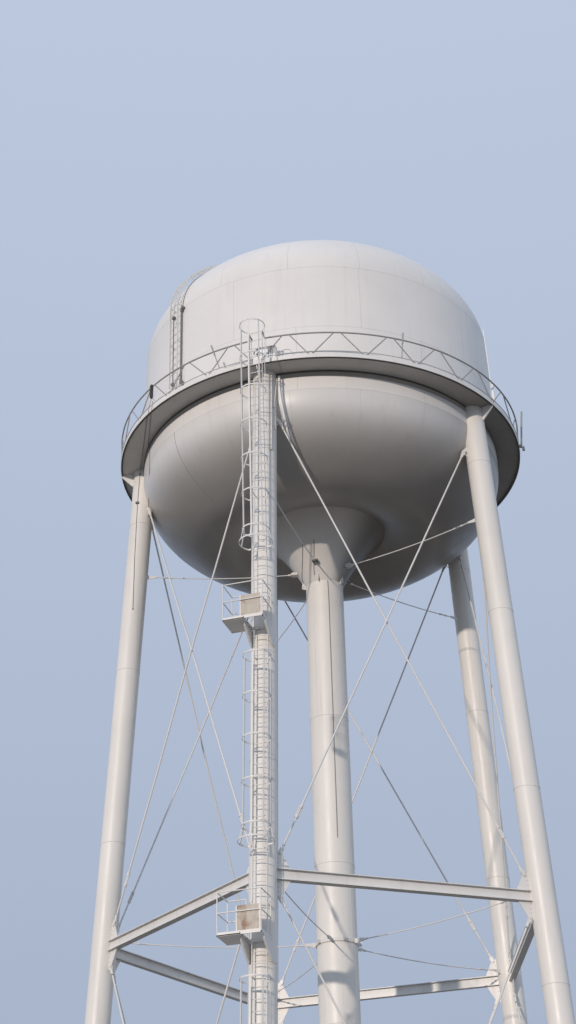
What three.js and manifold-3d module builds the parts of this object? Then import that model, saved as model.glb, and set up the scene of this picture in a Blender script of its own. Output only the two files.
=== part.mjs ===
// Elevated water tower: an ellipsoidal tank on five raked tubular legs round a central
// riser, with crossed tie rods, a balcony, caged ladders and rest platforms.
// Lengths below are those of the real tower in millimetres, with +Z up and the origin on
// the ground at the riser's centre. The whole model is then scaled by MODEL_SCALE.
import * as THREE from 'three';
import { mergeVertices } from 'three/addons/utils/BufferGeometryUtils.js';
import Module from 'manifold-3d';

const MODEL_SCALE = 1 / 2;
const GAP = 0.7;
const BITE = 10;

// Tower frame
const LEG_COUNT = 5;
const LEG_STEP = (2 * Math.PI) / LEG_COUNT;
const LADDER_LEG_AZIMUTH = -Math.PI / 2;
const LEG_RADIUS = 376;
const LEG_CIRCLE_AT_STRUT = 6920;
const LEG_BATTER = 0.0535;
const LEG_SIDES = 16;
const STRUT_LEVEL = 16880;
const FOOT = { half: 600, thickness: 60, rib: 24, ribTop: 380, ribReach: 500 };
const STRUT = { depth: 310, width: 205, flange: 22, web: 16 };
const LEG_CUT = 1000;
const GUSSET = { thickness: 24, root: 300, reach: 780, height: 830 };
const LUG = { up: 260, down: 300 };

// Tie rods, their end forks and turnbuckles
const ROD_RADIUS = 26;
const ROD_SIDES = 4;
const PIN_OFFSET = 480;
const PIN_EYE = 70;
const UPPER_RODS = { top: 31750, bottom: STRUT_LEVEL + 620 };
const LOWER_RODS = { top: STRUT_LEVEL - 620, bottom: 1050 };
const FORK = { width: 120, cheek: 22, slot: 92, back: 80, length: 250 };
const TURNBUCKLE = { radius: 52, length: 420, fromPin: 1150 };

// Tank
const TANK_RADIUS = 6060;
const SHELL_BOTTOM = 32750;
const SHELL_TOP = 37550;
const ROOF_RISE = 3510;
const BOWL_DEPTH = 3100;
const KNUCKLE = { slope: deg(29), radius: 2200, steps: 4 };
const CREASE_RADIUS = 2070;
const PLATE = 26;
const TANK_SEGMENTS = 60;
const DOME_STEPS = 7;
const BOWL_STEPS = 6;
const INNER_STEPS = 4;
const VENT = {
  radius: 330, hood: 520, height: 420, skirt: 40, rim: 60, crown: 200, peak: 230, segments: 20,
};
const HATCH = { radius: 300, height: 200, circle: 1150, segments: 20 };

// Riser and its stays
const RISER_RADIUS = 612;
const RISER_WALL = 24;
const RISER_TOP = 28870;
const RISER_FOOT = { radius: 930, thickness: 60 };
const RISER_SEGMENTS = 30;
const BELL = { steepness: 1.976, steps: 4 };
const STAY_RADIUS = 16;
const COLLAR = { height: 110, lugThickness: 20, lugHeight: 150 };
const STAY_SHOE = { half: 75, reach: 120 };
const STAY_BITE = 30;
const UPPER_STAYS = { collar: 29390, leg: 29390, outer: 950, reach: 130 };
const LOWER_STAYS = { collar: STRUT_LEVEL, leg: STRUT_LEVEL + 190, outer: RISER_RADIUS + 36, reach: 250 };

// Balcony
const BALCONY_LEVEL = 33366;
const BALCONY_RADIUS = 6848;
const CURB = { height: 170, thickness: 20, lip: 60, floor: 20 };
const DECK_TOP = BALCONY_LEVEL + CURB.lip + CURB.floor + GAP;
const LEG_TOP = BALCONY_LEVEL + CURB.lip - GAP;
const BRACKET = { root: 6300, drop: 480, nose: 120 };
const DECK_SEAM = GAP / BALCONY_RADIUS / 2;
const HANDRAIL = {
  height: 950, radius: 26, post: 24, sides: 4, bar: 19, barSides: 3, bays: 5, postInset: deg(0.3), sunk: 40,
};
const RAIL_APEX = deg(0.9);
const RAIL_FOOT = deg(0.6);
const GATE = { from: deg(-1.1), to: deg(2.3) };
const SLICE = { reach: 500, margin: 100, steps: 6 };

// Ladders, cages and rest platforms on the front leg
const LADDER = { half: 205, depth: 62, width: 14, rung: 14, rungSides: 3, pitch: 305 };
const ARM = { width: 14, height: 50, spacing: 3660, first: 900, last: 400, bite: 6, sunk: 100 };
const LADDER_OFFSET = 560;
const LADDER_SHIFT = 110;
const LADDER_HEAD = { radius: 6985, shift: 30, top: 34520 };
const LADDER_FOOT = 63;
const LADDER_JOINT = 4;
const CAGE = {
  radius: 395, centre: 350, strip: 14, stripWidth: 44, hoop: 46, steps: 6, overlap: 15, bite: 3,
};
const CAGE_INSIDE = CAGE.radius - CAGE.strip / 2;
const CAGE_SPREAD = deg(149);
const CAGE_FLARE = { radius: 490, drop: 420, sunk: 8 };
const PLATFORM_LEVELS = [5740, 14930, 24120];
const CAGE_LIFT = 2950;
const CAGE_HEADROOM = 1150;
const HOOP_SPACING = 1230;
const PLATFORM = {
  left: -830, right: 375, near: 395, far: 1210, floor: 26, curb: 95, edge: 24, hatch: -190,
  topRail: 1120, midRail: 570, rail: 17, line: 16, backRail: -300,
};
const KNEE = { thickness: 20, root: 60, drop: 560, toe: 130, top: 20, reach: 980, sides: [-250, 363] };
const GUARD = { left: -320, right: 330, height: 720, thickness: 12, inset: 15 };
const ROOF_LADDER = {
  azimuth: deg(-33.3), bottom: 34400, standoff: 190, inner: 1500, steps: 8, feet: [2600, 300], crown: 50,
};

// Small fittings
const OVERFLOW = { azimuth: deg(5), radius: 40, top: 33300, end: deg(27), sides: 8, steps: 8 };
const CABINET = { azimuth: deg(1), radius: 6290, width: 720, depth: 240, height: 860 };
const MAST = { azimuth: deg(74.7), radius: 30, circle: 6740, height: 3200, sides: 8 };

const COLOURS = {
  tank: 0xdcdad6, steel: 0xd6d2cb, underside: 0x8a8884, rail: 0x9a9a98, fitting: 0xb4b2ae,
};

const wasm = await Module();
wasm.setup();

function deg(angle) {
  return (angle * Math.PI) / 180;
}

function v(x, y, z) {
  return new THREE.Vector3(x, y, z);
}

// A closed geometry as a solid, with its faces turned out
function solid(geometry) {
  const bare = geometry.clone();
  bare.deleteAttribute('normal');
  bare.deleteAttribute('uv');
  const merged = mergeVertices(bare, 1e-3);
  const { position } = merged.attributes;
  const corners = [v(0, 0, 0), v(0, 0, 0), v(0, 0, 0)];
  const faces = [];
  let volume = 0;
  for (let i = 0; i < merged.index.count; i += 3) {
    const face = [0, 1, 2].map((step) => merged.index.getX(i + step));
    if (new Set(face).size < 3) continue;
    faces.push(face);
    corners.forEach((corner, step) => corner.fromBufferAttribute(position, face[step]));
    volume += corners[0].dot(corners[1].cross(corners[2]));
  }
  const turned = volume < 0 ? faces.map(([p, q, r]) => [p, r, q]) : faces;
  const vertProperties = new Float32Array(position.array);
  const triVerts = new Uint32Array(turned.flat());
  return new wasm.Manifold(new wasm.Mesh({ numProp: 3, vertProperties, triVerts }));
}

function join(geometries) {
  return wasm.Manifold.union(geometries.map(solid));
}

function geometryOf(body) {
  const mesh = body.getMesh();
  const geometry = new THREE.BufferGeometry();
  const positions = new THREE.BufferAttribute(new Float32Array(mesh.vertProperties), 3);
  geometry.setAttribute('position', positions);
  geometry.setIndex(new THREE.BufferAttribute(new Uint32Array(mesh.triVerts), 1));
  geometry.computeVertexNormals();
  return geometry;
}

// Basic shapes
function along(geometry, from, to) {
  const direction = to.clone().sub(from).normalize();
  geometry.applyQuaternion(new THREE.Quaternion().setFromUnitVectors(v(0, 0, 1), direction));
  const middle = from.clone().add(to).multiplyScalar(0.5);
  return geometry.translate(middle.x, middle.y, middle.z);
}

function bar(from, to, radius, sides) {
  const length = from.distanceTo(to);
  return along(new THREE.CylinderGeometry(radius, radius, length, sides).rotateX(Math.PI / 2), from, to);
}

function flatBar(from, to, depth, width) {
  return along(new THREE.BoxGeometry(depth, width, from.distanceTo(to)), from, to);
}

function box(low, high) {
  const size = high.clone().sub(low);
  const middle = high.clone().add(low).multiplyScalar(0.5);
  return new THREE.BoxGeometry(size.x, size.y, size.z).translate(middle.x, middle.y, middle.z);
}

function plate(points, thickness) {
  const shape = new THREE.Shape(points.map(([x, y]) => new THREE.Vector2(x, y)));
  const geometry = new THREE.ExtrudeGeometry(shape, { depth: thickness, bevelEnabled: false });
  return geometry.translate(0, 0, -thickness / 2);
}

// A plate standing upright in the plane of +X and +Z, at a distance along +Y
function uprightPlate(points, thickness, y = 0) {
  return plate(points, thickness).rotateX(Math.PI / 2).translate(0, y, 0);
}

function revolve(profile, segments) {
  const points = profile.map(([radius, height]) => new THREE.Vector2(radius, height));
  return new THREE.LatheGeometry(points, segments).rotateX(Math.PI / 2);
}

function ring(profile, segments) {
  return revolve([...profile, profile[0]], segments);
}

function arcPoints(radius, from, to, steps) {
  return Array.from({ length: steps + 1 }, (_, i) => {
    const angle = from + ((to - from) * i) / steps;
    return [radius * Math.cos(angle), radius * Math.sin(angle)];
  });
}

// A slice round the axis between two azimuths and two heights, to cut rings with
function slice(from, to, low, high) {
  const corners = [[0, 0], ...arcPoints(BALCONY_RADIUS + SLICE.reach, from, to, SLICE.steps)];
  return plate(corners, high - low).translate(0, 0, (high + low) / 2);
}

// The rake of the legs
function legCircle(z) {
  return LEG_CIRCLE_AT_STRUT + LEG_BATTER * (STRUT_LEVEL - z);
}

function legTube(radius, low, high) {
  return bar(v(legCircle(low), 0, low), v(legCircle(high), 0, high), radius, LEG_SIDES);
}

// A panel is the raked plane through two neighbouring legs. In it x runs level towards
// the next leg from the middle, y runs up the slope, and z points out of the tower.
const HALF_STEP = LEG_STEP / 2;
const PANEL_SLOPE = LEG_BATTER * Math.cos(HALF_STEP);
const PANEL_STRETCH = Math.sqrt(1 + PANEL_SLOPE * PANEL_SLOPE);

function panelMatrix() {
  const level = v(0, 1, 0);
  const up = v(-PANEL_SLOPE, 0, 1).normalize();
  const matrix = new THREE.Matrix4().makeBasis(level, up, level.clone().cross(up));
  return matrix.setPosition(legCircle(0) * Math.cos(HALF_STEP), 0, 0);
}

function panelPoint(side, z, offset) {
  return v(side * (legCircle(z) * Math.sin(HALF_STEP) - offset), z * PANEL_STRETCH, 0);
}

function panelLeg(side, radius) {
  const tube = legTube(radius, 0, SHELL_BOTTOM).rotateZ(side * HALF_STEP);
  return tube.applyMatrix4(panelMatrix().invert());
}

// A convex plate round its root points and a rounded eye at the pin
function lug(pin, towards, roots) {
  const heading = Math.atan2(towards.y - pin.y, towards.x - pin.x);
  const eye = arcPoints(PIN_EYE, heading - Math.PI / 2, heading + Math.PI / 2, 3);
  const points = [...eye.map(([x, y]) => [pin.x + x, pin.y + y]), ...roots.map((p) => [p.x, p.y])];
  const centreX = points.reduce((sum, [x]) => sum + x, 0) / points.length;
  const centreY = points.reduce((sum, [, y]) => sum + y, 0) / points.length;
  const bearing = ([x, y]) => Math.atan2(y - centreY, x - centreX);
  return plate(points.sort((p, q) => bearing(p) - bearing(q)), GUSSET.thickness);
}

// Tank, bell and riser
function ellipse(radius, rise, inner, steps) {
  const end = Math.acos(inner / radius);
  return Array.from({ length: steps + 1 }, (_, i) => {
    const angle = (end * i) / steps;
    const reach = i === steps ? inner : radius * Math.cos(angle);
    return [reach, rise * Math.sin(angle)];
  });
}

function shifted(points, height, sign = 1) {
  return points.map(([radius, z]) => [radius, height + sign * z]);
}

function domeSolid(extra) {
  const base = SHELL_TOP + GAP;
  const dome = shifted(ellipse(TANK_RADIUS + extra, ROOF_RISE + extra, 0, DOME_STEPS), base);
  return solid(revolve([[0, base - extra], [TANK_RADIUS + extra, base - extra], ...dome], TANK_SEGMENTS));
}

function tankRoof() {
  const base = SHELL_TOP + GAP;
  const outer = shifted(ellipse(TANK_RADIUS, ROOF_RISE, 0, DOME_STEPS), base);
  const inner = shifted(ellipse(TANK_RADIUS - PLATE, ROOF_RISE - PLATE, 0, INNER_STEPS), base);
  return solid(revolve([...inner.reverse(), ...outer], TANK_SEGMENTS));
}

function tankShell() {
  const inner = TANK_RADIUS - PLATE;
  return solid(ring([
    [TANK_RADIUS, SHELL_BOTTOM], [TANK_RADIUS, SHELL_TOP], [inner, SHELL_TOP], [inner, SHELL_BOTTOM],
  ], TANK_SEGMENTS));
}

// The bowl's outline: an ellipse in to its knuckle, then an arc over the lowest ring and up to
// the crease where the bell starts
function bowlProfile(extra, steps) {
  const [width, depth] = [TANK_RADIUS + extra, BOWL_DEPTH + extra];
  const angle = Math.atan2(depth, width * Math.tan(KNUCKLE.slope));
  const curve = ellipse(width, depth, width * Math.cos(angle), steps);
  const [reach, drop] = curve.at(-1);
  const radius = KNUCKLE.radius + extra;
  const centre = reach - radius * Math.sin(KNUCKLE.slope);
  const level = drop - radius * Math.cos(KNUCKLE.slope);
  const end = -Math.asin((centre - CREASE_RADIUS - GAP) / radius);
  const arc = Array.from({ length: KNUCKLE.steps }, (_, i) => {
    const turn = KNUCKLE.slope + ((end - KNUCKLE.slope) * (i + 1)) / KNUCKLE.steps;
    return [centre + radius * Math.sin(turn), level + radius * Math.cos(turn)];
  });
  return shifted([...curve, ...arc], SHELL_BOTTOM - GAP, -1);
}

function tankBowl() {
  const inner = bowlProfile(-PLATE, INNER_STEPS).reverse();
  return solid(ring([...bowlProfile(0, BOWL_STEPS), ...inner], TANK_SEGMENTS));
}

// A trumpet that opens from the riser to the bowl's crease
function bellProfile(extra) {
  const low = RISER_TOP + GAP;
  const [, high] = bowlProfile(0, BOWL_STEPS).at(-1);
  const width = CREASE_RADIUS - RISER_RADIUS;
  const bend = (high - low) / width - BELL.steepness;
  return Array.from({ length: BELL.steps + 1 }, (_, i) => {
    const share = i / BELL.steps;
    return [RISER_RADIUS + extra + width * share, low + width * share * (BELL.steepness + bend * share)];
  });
}

function riserBell() {
  const curve = bellProfile(0);
  const outer = [...curve, [CREASE_RADIUS, curve.at(-1)[1] + 2 * PLATE]];
  const inner = outer.map(([radius, z]) => [radius - PLATE, z]);
  return solid(ring([...outer, ...inner.reverse()], TANK_SEGMENTS));
}

function riserPipe() {
  const { radius, thickness } = RISER_FOOT;
  const inner = RISER_RADIUS - RISER_WALL;
  const floor = thickness + RISER_WALL;
  return solid(revolve([
    [0, 0], [radius, 0], [radius, thickness], [RISER_RADIUS, thickness],
    [RISER_RADIUS, RISER_TOP], [inner, RISER_TOP], [inner, floor], [0, floor],
  ], RISER_SEGMENTS));
}

// Everything inside the outer face of the shell and bowl, a gap wider
function tankEnvelope() {
  const bowl = bowlProfile(GAP, BOWL_STEPS);
  const lowest = bowl.at(-1)[1];
  return solid(revolve([
    [0, SHELL_TOP], [TANK_RADIUS + GAP, SHELL_TOP], ...bowl, [0, lowest],
  ], TANK_SEGMENTS));
}

// A body round the tower's axis, turned into the frame of a piece at an azimuth
function facing(body, azimuth) {
  return body.rotate([0, 0, -THREE.MathUtils.radToDeg(azimuth)]);
}

function roofVent() {
  const { radius, hood, height, skirt, rim, crown, peak, segments } = VENT;
  const low = SHELL_TOP + ROOF_RISE - radius / 2;
  const neck = low + height;
  const body = solid(revolve([
    [0, low], [radius, low], [radius, neck], [hood, neck - skirt], [hood, neck + rim],
    [hood / 2, neck + crown], [0, neck + peak],
  ], segments));
  return body.subtract(domeSolid(GAP));
}

function roofHatch(azimuth) {
  const level = SHELL_TOP + ROOF_RISE;
  const low = v(HATCH.circle, 0, level - HATCH.height);
  const high = v(HATCH.circle, 0, level + HATCH.height / 2);
  const body = solid(bar(low, high, HATCH.radius, HATCH.segments));
  return body.subtract(facing(domeSolid(GAP), azimuth));
}

// Legs, struts and tie rods
function legLugs() {
  const matrix = panelMatrix();
  return [-1, 1].flatMap((side) => [UPPER_RODS, LOWER_RODS].map((rods) => {
    const level = rods === UPPER_RODS ? rods.top : rods.bottom;
    const target = rods === UPPER_RODS ? rods.bottom : rods.top;
    const pin = panelPoint(side, level, PIN_OFFSET);
    const roots = [LUG.up, -LUG.down].map((rise) => panelPoint(side, level + rise, GUSSET.root));
    const towards = panelPoint(-side, target, PIN_OFFSET);
    return lug(pin, towards, roots).applyMatrix4(matrix).rotateZ(-side * HALF_STEP);
  }));
}

function footPlates() {
  const { half, thickness, rib, ribTop, ribReach } = FOOT;
  const centre = legCircle(0);
  const sunk = thickness / 2;
  const profile = [[-ribReach, sunk], [ribReach, sunk], [LEG_RADIUS, ribTop], [-LEG_RADIUS, ribTop]];
  const ribs = [0, Math.PI / 2].map((turn) => uprightPlate(profile, rib).rotateZ(turn));
  const base = box(v(-half, -half, 0), v(half, half, thickness));
  return [base, ...ribs].map((piece) => piece.translate(centre, 0, 0));
}

function leg(envelope) {
  const tube = legTube(LEG_RADIUS, FOOT.thickness / 2, LEG_TOP + LEG_RADIUS);
  const side = 2 * FOOT.half;
  const trim = solid(box(v(0, -side, 0), v(legCircle(0) + side, side, LEG_TOP)));
  return join([tube, ...legLugs(), ...footPlates()]).intersect(trim).subtract(envelope);
}

// A plate on the outside of the leg's head, which carries the edge of the balcony
function balconyBracket() {
  const outer = BALCONY_RADIUS - CURB.thickness - GAP;
  const { root, drop, nose } = BRACKET;
  const outline = [
    [root, LEG_TOP - drop], [root + nose, LEG_TOP - drop],
    [outer, LEG_TOP - nose], [outer, LEG_TOP], [root, LEG_TOP],
  ];
  const legCut = legTube(LEG_RADIUS + GAP, LEG_TOP - LEG_CUT, LEG_TOP + LEG_CUT);
  return solid(uprightPlate(outline, GUSSET.thickness)).subtract(solid(legCut));
}

function strutBeam() {
  const { depth, width, flange, web } = STRUT;
  const d = depth / 2;
  const w = width / 2;
  const t = web / 2;
  const section = [
    [-w, -d], [w, -d], [w, flange - d], [t, flange - d], [t, d - flange], [w, d - flange],
    [w, d], [-w, d], [-w, d - flange], [-t, d - flange], [-t, flange - d], [-w, flange - d],
  ];
  const length = 2 * panelPoint(1, STRUT_LEVEL, GUSSET.root).x;
  return plate(section, length).rotateY(Math.PI / 2).translate(0, STRUT_LEVEL * PANEL_STRETCH, 0);
}

function strutGusset(side, rise) {
  const rods = rise > 0 ? UPPER_RODS : LOWER_RODS;
  const near = rise > 0 ? rods.bottom : rods.top;
  const far = rise > 0 ? rods.top : rods.bottom;
  const flange = rise * (STRUT.depth / 2 - STRUT.flange / 2);
  return lug(panelPoint(side, near, PIN_OFFSET), panelPoint(-side, far, PIN_OFFSET), [
    panelPoint(side, STRUT_LEVEL + flange, GUSSET.root),
    panelPoint(side, STRUT_LEVEL + rise * GUSSET.height, GUSSET.root),
    panelPoint(side, STRUT_LEVEL + flange, GUSSET.reach),
  ]);
}

function strut() {
  const gussets = [-1, 1].flatMap((side) => [-1, 1].map((rise) => strutGusset(side, rise)));
  return join([strutBeam(), ...gussets])
    .subtract(solid(panelLeg(-1, LEG_RADIUS + GAP)))
    .subtract(solid(panelLeg(1, LEG_RADIUS + GAP)));
}

function fork(pin, towards) {
  const { width, cheek, slot, back, length } = FORK;
  const inside = GUSSET.thickness / 2 + GAP;
  const outside = inside + cheek;
  const block = solid(box(v(-back, -width / 2, -outside), v(length, width / 2, outside)));
  const cut = solid(box(v(-2 * back, -width, -inside), v(slot, width, inside)));
  const heading = THREE.MathUtils.radToDeg(Math.atan2(towards.y - pin.y, towards.x - pin.x));
  return block.subtract(cut).rotate([0, 0, heading]).translate([pin.x, pin.y, 0]);
}

function tieRod(side, rods) {
  const top = panelPoint(side, rods.top, PIN_OFFSET);
  const bottom = panelPoint(-side, rods.bottom, PIN_OFFSET);
  const direction = top.clone().sub(bottom).normalize();
  const at = (start, distance) => start.clone().addScaledVector(direction, distance);
  const reach = FORK.length - BITE;
  const { radius, length, fromPin } = TURNBUCKLE;
  const parts = join([
    bar(at(bottom, reach), at(top, -reach), ROD_RADIUS, ROD_SIDES),
    bar(at(bottom, fromPin), at(bottom, fromPin + length), radius, ROD_SIDES),
  ]);
  return parts.add(fork(top, bottom)).add(fork(bottom, top));
}

function crossedRods(rods) {
  return tieRod(-1, rods).add(tieRod(1, rods));
}

// A filled body under a profile, for a collar to be cut round
function core(profile, segments) {
  return solid(revolve([[0, profile[0][1]], ...profile, [0, profile.at(-1)[1]]], segments));
}

function riserStays(levels, middle) {
  const { height, lugThickness, lugHeight } = COLLAR;
  const { outer, reach } = levels;
  const [low, high] = [levels.collar - height / 2, levels.collar + height / 2];
  const disc = solid(revolve([[0, low], [outer, low], [outer, high], [0, high]], TANK_SEGMENTS));
  const end = legCircle(levels.leg) - LEG_RADIUS;
  const arms = Array.from({ length: LEG_COUNT }, (_, i) => {
    const turn = LADDER_LEG_AZIMUTH + i * LEG_STEP;
    const tip = outer + reach;
    const pieces = [
      box(v(outer - BITE, -lugThickness / 2, levels.collar - lugHeight / 2),
        v(tip, lugThickness / 2, levels.collar + lugHeight / 2)),
      bar(v(tip - STAY_BITE, 0, levels.collar), v(end, 0, levels.leg), STAY_RADIUS, ROD_SIDES),
      box(v(end - STAY_SHOE.reach, -STAY_SHOE.half, levels.leg - STAY_SHOE.half),
        v(end + LEG_RADIUS / 2, STAY_SHOE.half, levels.leg + STAY_SHOE.half)),
    ];
    const legCut = legTube(LEG_RADIUS + GAP, levels.leg - LEG_CUT, levels.leg + LEG_CUT).rotateZ(turn);
    return join(pieces.map((piece) => piece.rotateZ(turn))).subtract(solid(legCut));
  });
  return wasm.Manifold.union([disc, ...arms]).subtract(middle);
}

// Balcony
function balconyFloor() {
  const outer = BALCONY_RADIUS;
  const inner = outer - CURB.thickness;
  const shell = TANK_RADIUS + GAP;
  const [low, top] = [BALCONY_LEVEL, BALCONY_LEVEL + CURB.height];
  const under = low + CURB.lip;
  const deck = under + CURB.floor;
  const profile = [
    [shell, under], [inner, under], [inner, low], [outer, low],
    [outer, top], [inner, top], [inner, deck], [shell, deck],
  ];
  const part = slice(DECK_SEAM, LEG_STEP - DECK_SEAM, low - SLICE.margin, top + SLICE.margin);
  return solid(ring(profile, TANK_SEGMENTS)).intersect(solid(part));
}

function railPoint(angle, z) {
  const radius = BALCONY_RADIUS - CURB.thickness / 2;
  return v(radius * Math.cos(angle), radius * Math.sin(angle), z);
}

function railRing(level, radius, sides) {
  const centre = BALCONY_RADIUS - CURB.thickness / 2;
  const circle = arcPoints(radius, 0, 2 * Math.PI, sides).slice(0, -1);
  return ring(circle.map(([x, y]) => [centre + x, level + y]), TANK_SEGMENTS);
}

function handrail(from, to) {
  const foot = BALCONY_LEVEL + CURB.height + GAP;
  const top = BALCONY_LEVEL + HANDRAIL.height;
  const bay = LEG_STEP / HANDRAIL.bays;
  const { radius, post, sides, bar: width, barSides, postInset, sunk } = HANDRAIL;
  const ends = [from + postInset, to - postInset];
  const posts = ends.map((angle) => bar(railPoint(angle, foot - sunk), railPoint(angle, top), post, sides));
  const pieces = [railRing(top, radius, sides), ...posts];
  for (let i = 0; i < HANDRAIL.bays; i += 1) {
    const middle = (i + 0.5) * bay;
    const feet = [Math.max(i * bay + RAIL_FOOT, ends[0]), Math.min((i + 1) * bay - RAIL_FOOT, ends[1])];
    const apex = [middle - RAIL_APEX, middle + RAIL_APEX];
    feet.forEach((angle, side) => {
      pieces.push(bar(railPoint(angle, foot - sunk), railPoint(apex[side], top), width, barSides));
    });
  }
  return join(pieces).intersect(solid(slice(from, to, foot, top + SLICE.margin)));
}

// Ladders on the front leg
function ladderPoint(z) {
  const start = PLATFORM_LEVELS[2];
  if (z <= start) return v(legCircle(z) + LADDER_OFFSET, LADDER_SHIFT, z);
  const share = Math.min((z - start) / (BALCONY_LEVEL - start), 1);
  const low = legCircle(start) + LADDER_OFFSET;
  const x = low + (LADDER_HEAD.radius - low) * share;
  return v(x, LADDER_SHIFT + (LADDER_HEAD.shift - LADDER_SHIFT) * share, z);
}

function offsetPoint(z, x, y) {
  return ladderPoint(z).add(v(x, y, 0));
}

function hoopPlate(radius, spread) {
  const half = CAGE.strip / 2;
  const outer = arcPoints(radius + half, -spread, spread, CAGE.steps);
  const inner = arcPoints(radius - half, spread, -spread, CAGE.steps);
  return plate([...outer, ...inner], CAGE.hoop);
}

function hoop(z, radius, spread) {
  const centre = offsetPoint(z, CAGE.centre, 0);
  return hoopPlate(radius, spread).translate(centre.x, centre.y, centre.z);
}

function cageStrip(low, high, lowRadius, highRadius) {
  const from = offsetPoint(low, CAGE.centre + lowRadius, 0);
  return flatBar(from, offsetPoint(high, CAGE.centre + highRadius, 0), CAGE.strip, CAGE.stripWidth);
}

function cage(low, high) {
  const count = Math.max(1, Math.round((high - low) / HOOP_SPACING));
  const levels = Array.from({ length: count + 1 }, (_, i) => low + ((high - low) * i) / count);
  const hoops = levels.map((z) => hoop(z, CAGE.radius, CAGE_SPREAD));
  return [...hoops, cageStrip(low, high, CAGE_INSIDE, CAGE_INSIDE)];
}

// The wider hoop under a cage, with its returns to the ladder's side rails
function cageMouth(low) {
  const flareLevel = low - CAGE_FLARE.drop;
  const flareSpread = Math.acos(-CAGE.centre / CAGE_FLARE.radius);
  const flareReach = CAGE_FLARE.radius * Math.sin(flareSpread);
  const returns = [-1, 1].map((side) => flatBar(
    offsetPoint(flareLevel, 0, side * (LADDER.half - CAGE.bite)),
    offsetPoint(flareLevel, 0, side * (flareReach + CAGE.bite)),
    CAGE.hoop,
    CAGE.strip,
  ));
  const strip = cageStrip(flareLevel - CAGE.overlap, low, CAGE_FLARE.radius - CAGE_FLARE.sunk, CAGE_INSIDE);
  return [hoop(flareLevel, CAGE_FLARE.radius, flareSpread), ...returns, strip];
}

function rails(low, high) {
  return [-1, 1].map((side) => {
    const y = side * LADDER.half;
    return flatBar(offsetPoint(low, 0, y), offsetPoint(high, 0, y), LADDER.depth, LADDER.width);
  });
}

function rung(centre) {
  const half = v(0, LADDER.half, 0);
  return bar(centre.clone().sub(half), centre.clone().add(half), LADDER.rung, LADDER.rungSides);
}

function rungs(low, high) {
  const pieces = [];
  for (let z = low + LADDER.pitch; z < high - LADDER.rung; z += LADDER.pitch) {
    pieces.push(rung(ladderPoint(z)));
  }
  return pieces;
}

// A pair of flat arms from a root radius out to the ladder's side rails
function ladderArms(z, root) {
  return [-1, 1].map((side) => {
    const tip = offsetPoint(z, ARM.bite - LADDER.depth / 2, side * LADDER.half);
    const low = v(root, tip.y - ARM.width / 2, z - ARM.height / 2);
    return box(low, v(tip.x, tip.y + ARM.width / 2, z + ARM.height / 2));
  });
}

function legArms(low, high) {
  const pieces = [];
  for (let z = low + ARM.first; z < high - ARM.last; z += ARM.spacing) {
    pieces.push(...ladderArms(z, legCircle(z)));
  }
  return pieces;
}

function legLadder(low, high) {
  const [cageLow, cageHigh] = [low + CAGE_LIFT, high - (high < BALCONY_LEVEL ? CAGE_HEADROOM : CAGE.hoop)];
  const pieces = [
    ...rails(low, high),
    ...rungs(low, high),
    ...cageMouth(cageLow),
    ...cage(cageLow, cageHigh),
    ...legArms(low, Math.min(high, UPPER_RODS.top)),
  ];
  return join(pieces).subtract(solid(legTube(LEG_RADIUS + GAP, low - LEG_CUT, high + LEG_CUT)));
}

// The ladder's upright head, on arms from the curb of the balcony
function ladderHead(low, high) {
  const pieces = [
    ...rails(low, high),
    ...rungs(low, high),
    ...cage(low + CAGE.hoop, high - CAGE.hoop / 2),
    ...ladderArms(BALCONY_LEVEL + CURB.height / 2, BALCONY_RADIUS - ARM.sunk),
  ];
  const [bottom, top] = [BALCONY_LEVEL - SLICE.margin, BALCONY_LEVEL + CURB.height + SLICE.margin];
  const edge = BALCONY_RADIUS + GAP;
  const curb = revolve([[0, bottom], [edge, bottom], [edge, top], [0, top]], TANK_SEGMENTS);
  return join(pieces).subtract(solid(curb));
}

// Rest platforms beside the ladder
function platformRails(centre, level) {
  const { left, right, near, far, edge, rail, line, topRail, midRail, backRail } = PLATFORM;
  const inset = edge / 2;
  const at = (x, y, z) => v(centre + x, y, level + z);
  const [x0, x1, y0, y1] = [near + inset, far - inset, left + inset, right - inset];
  const corners = [[x0, backRail], [x0, y0], [x1, y0], [x1, y1], [x0, y1]];
  const posts = corners.map(([x, y]) => bar(at(x, y, 0), at(x, y, topRail), rail, ROD_SIDES));
  const lines = [topRail, midRail].flatMap((z) => corners.slice(1).map(([x, y], i) => {
    const [fromX, fromY] = corners[i];
    return bar(at(fromX, fromY, z), at(x, y, z), line, ROD_SIDES);
  }));
  return [...posts, ...lines];
}

function platformFrame(centre, level) {
  const { left, right, near, far, floor, curb, edge, hatch } = PLATFORM;
  const low = level - curb / 3;
  const high = low + curb;
  const [x0, x1] = [centre + near, centre + far];
  return [
    box(v(x0, left, level - floor), v(x1, hatch, level)),
    box(v(x0, left, low), v(x0 + edge, right, high)),
    box(v(x1 - edge, left, low), v(x1, right, high)),
    box(v(x0, left, low), v(x1, left + edge, high)),
    box(v(x0, right - edge, low), v(x1, right, high)),
  ];
}

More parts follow.
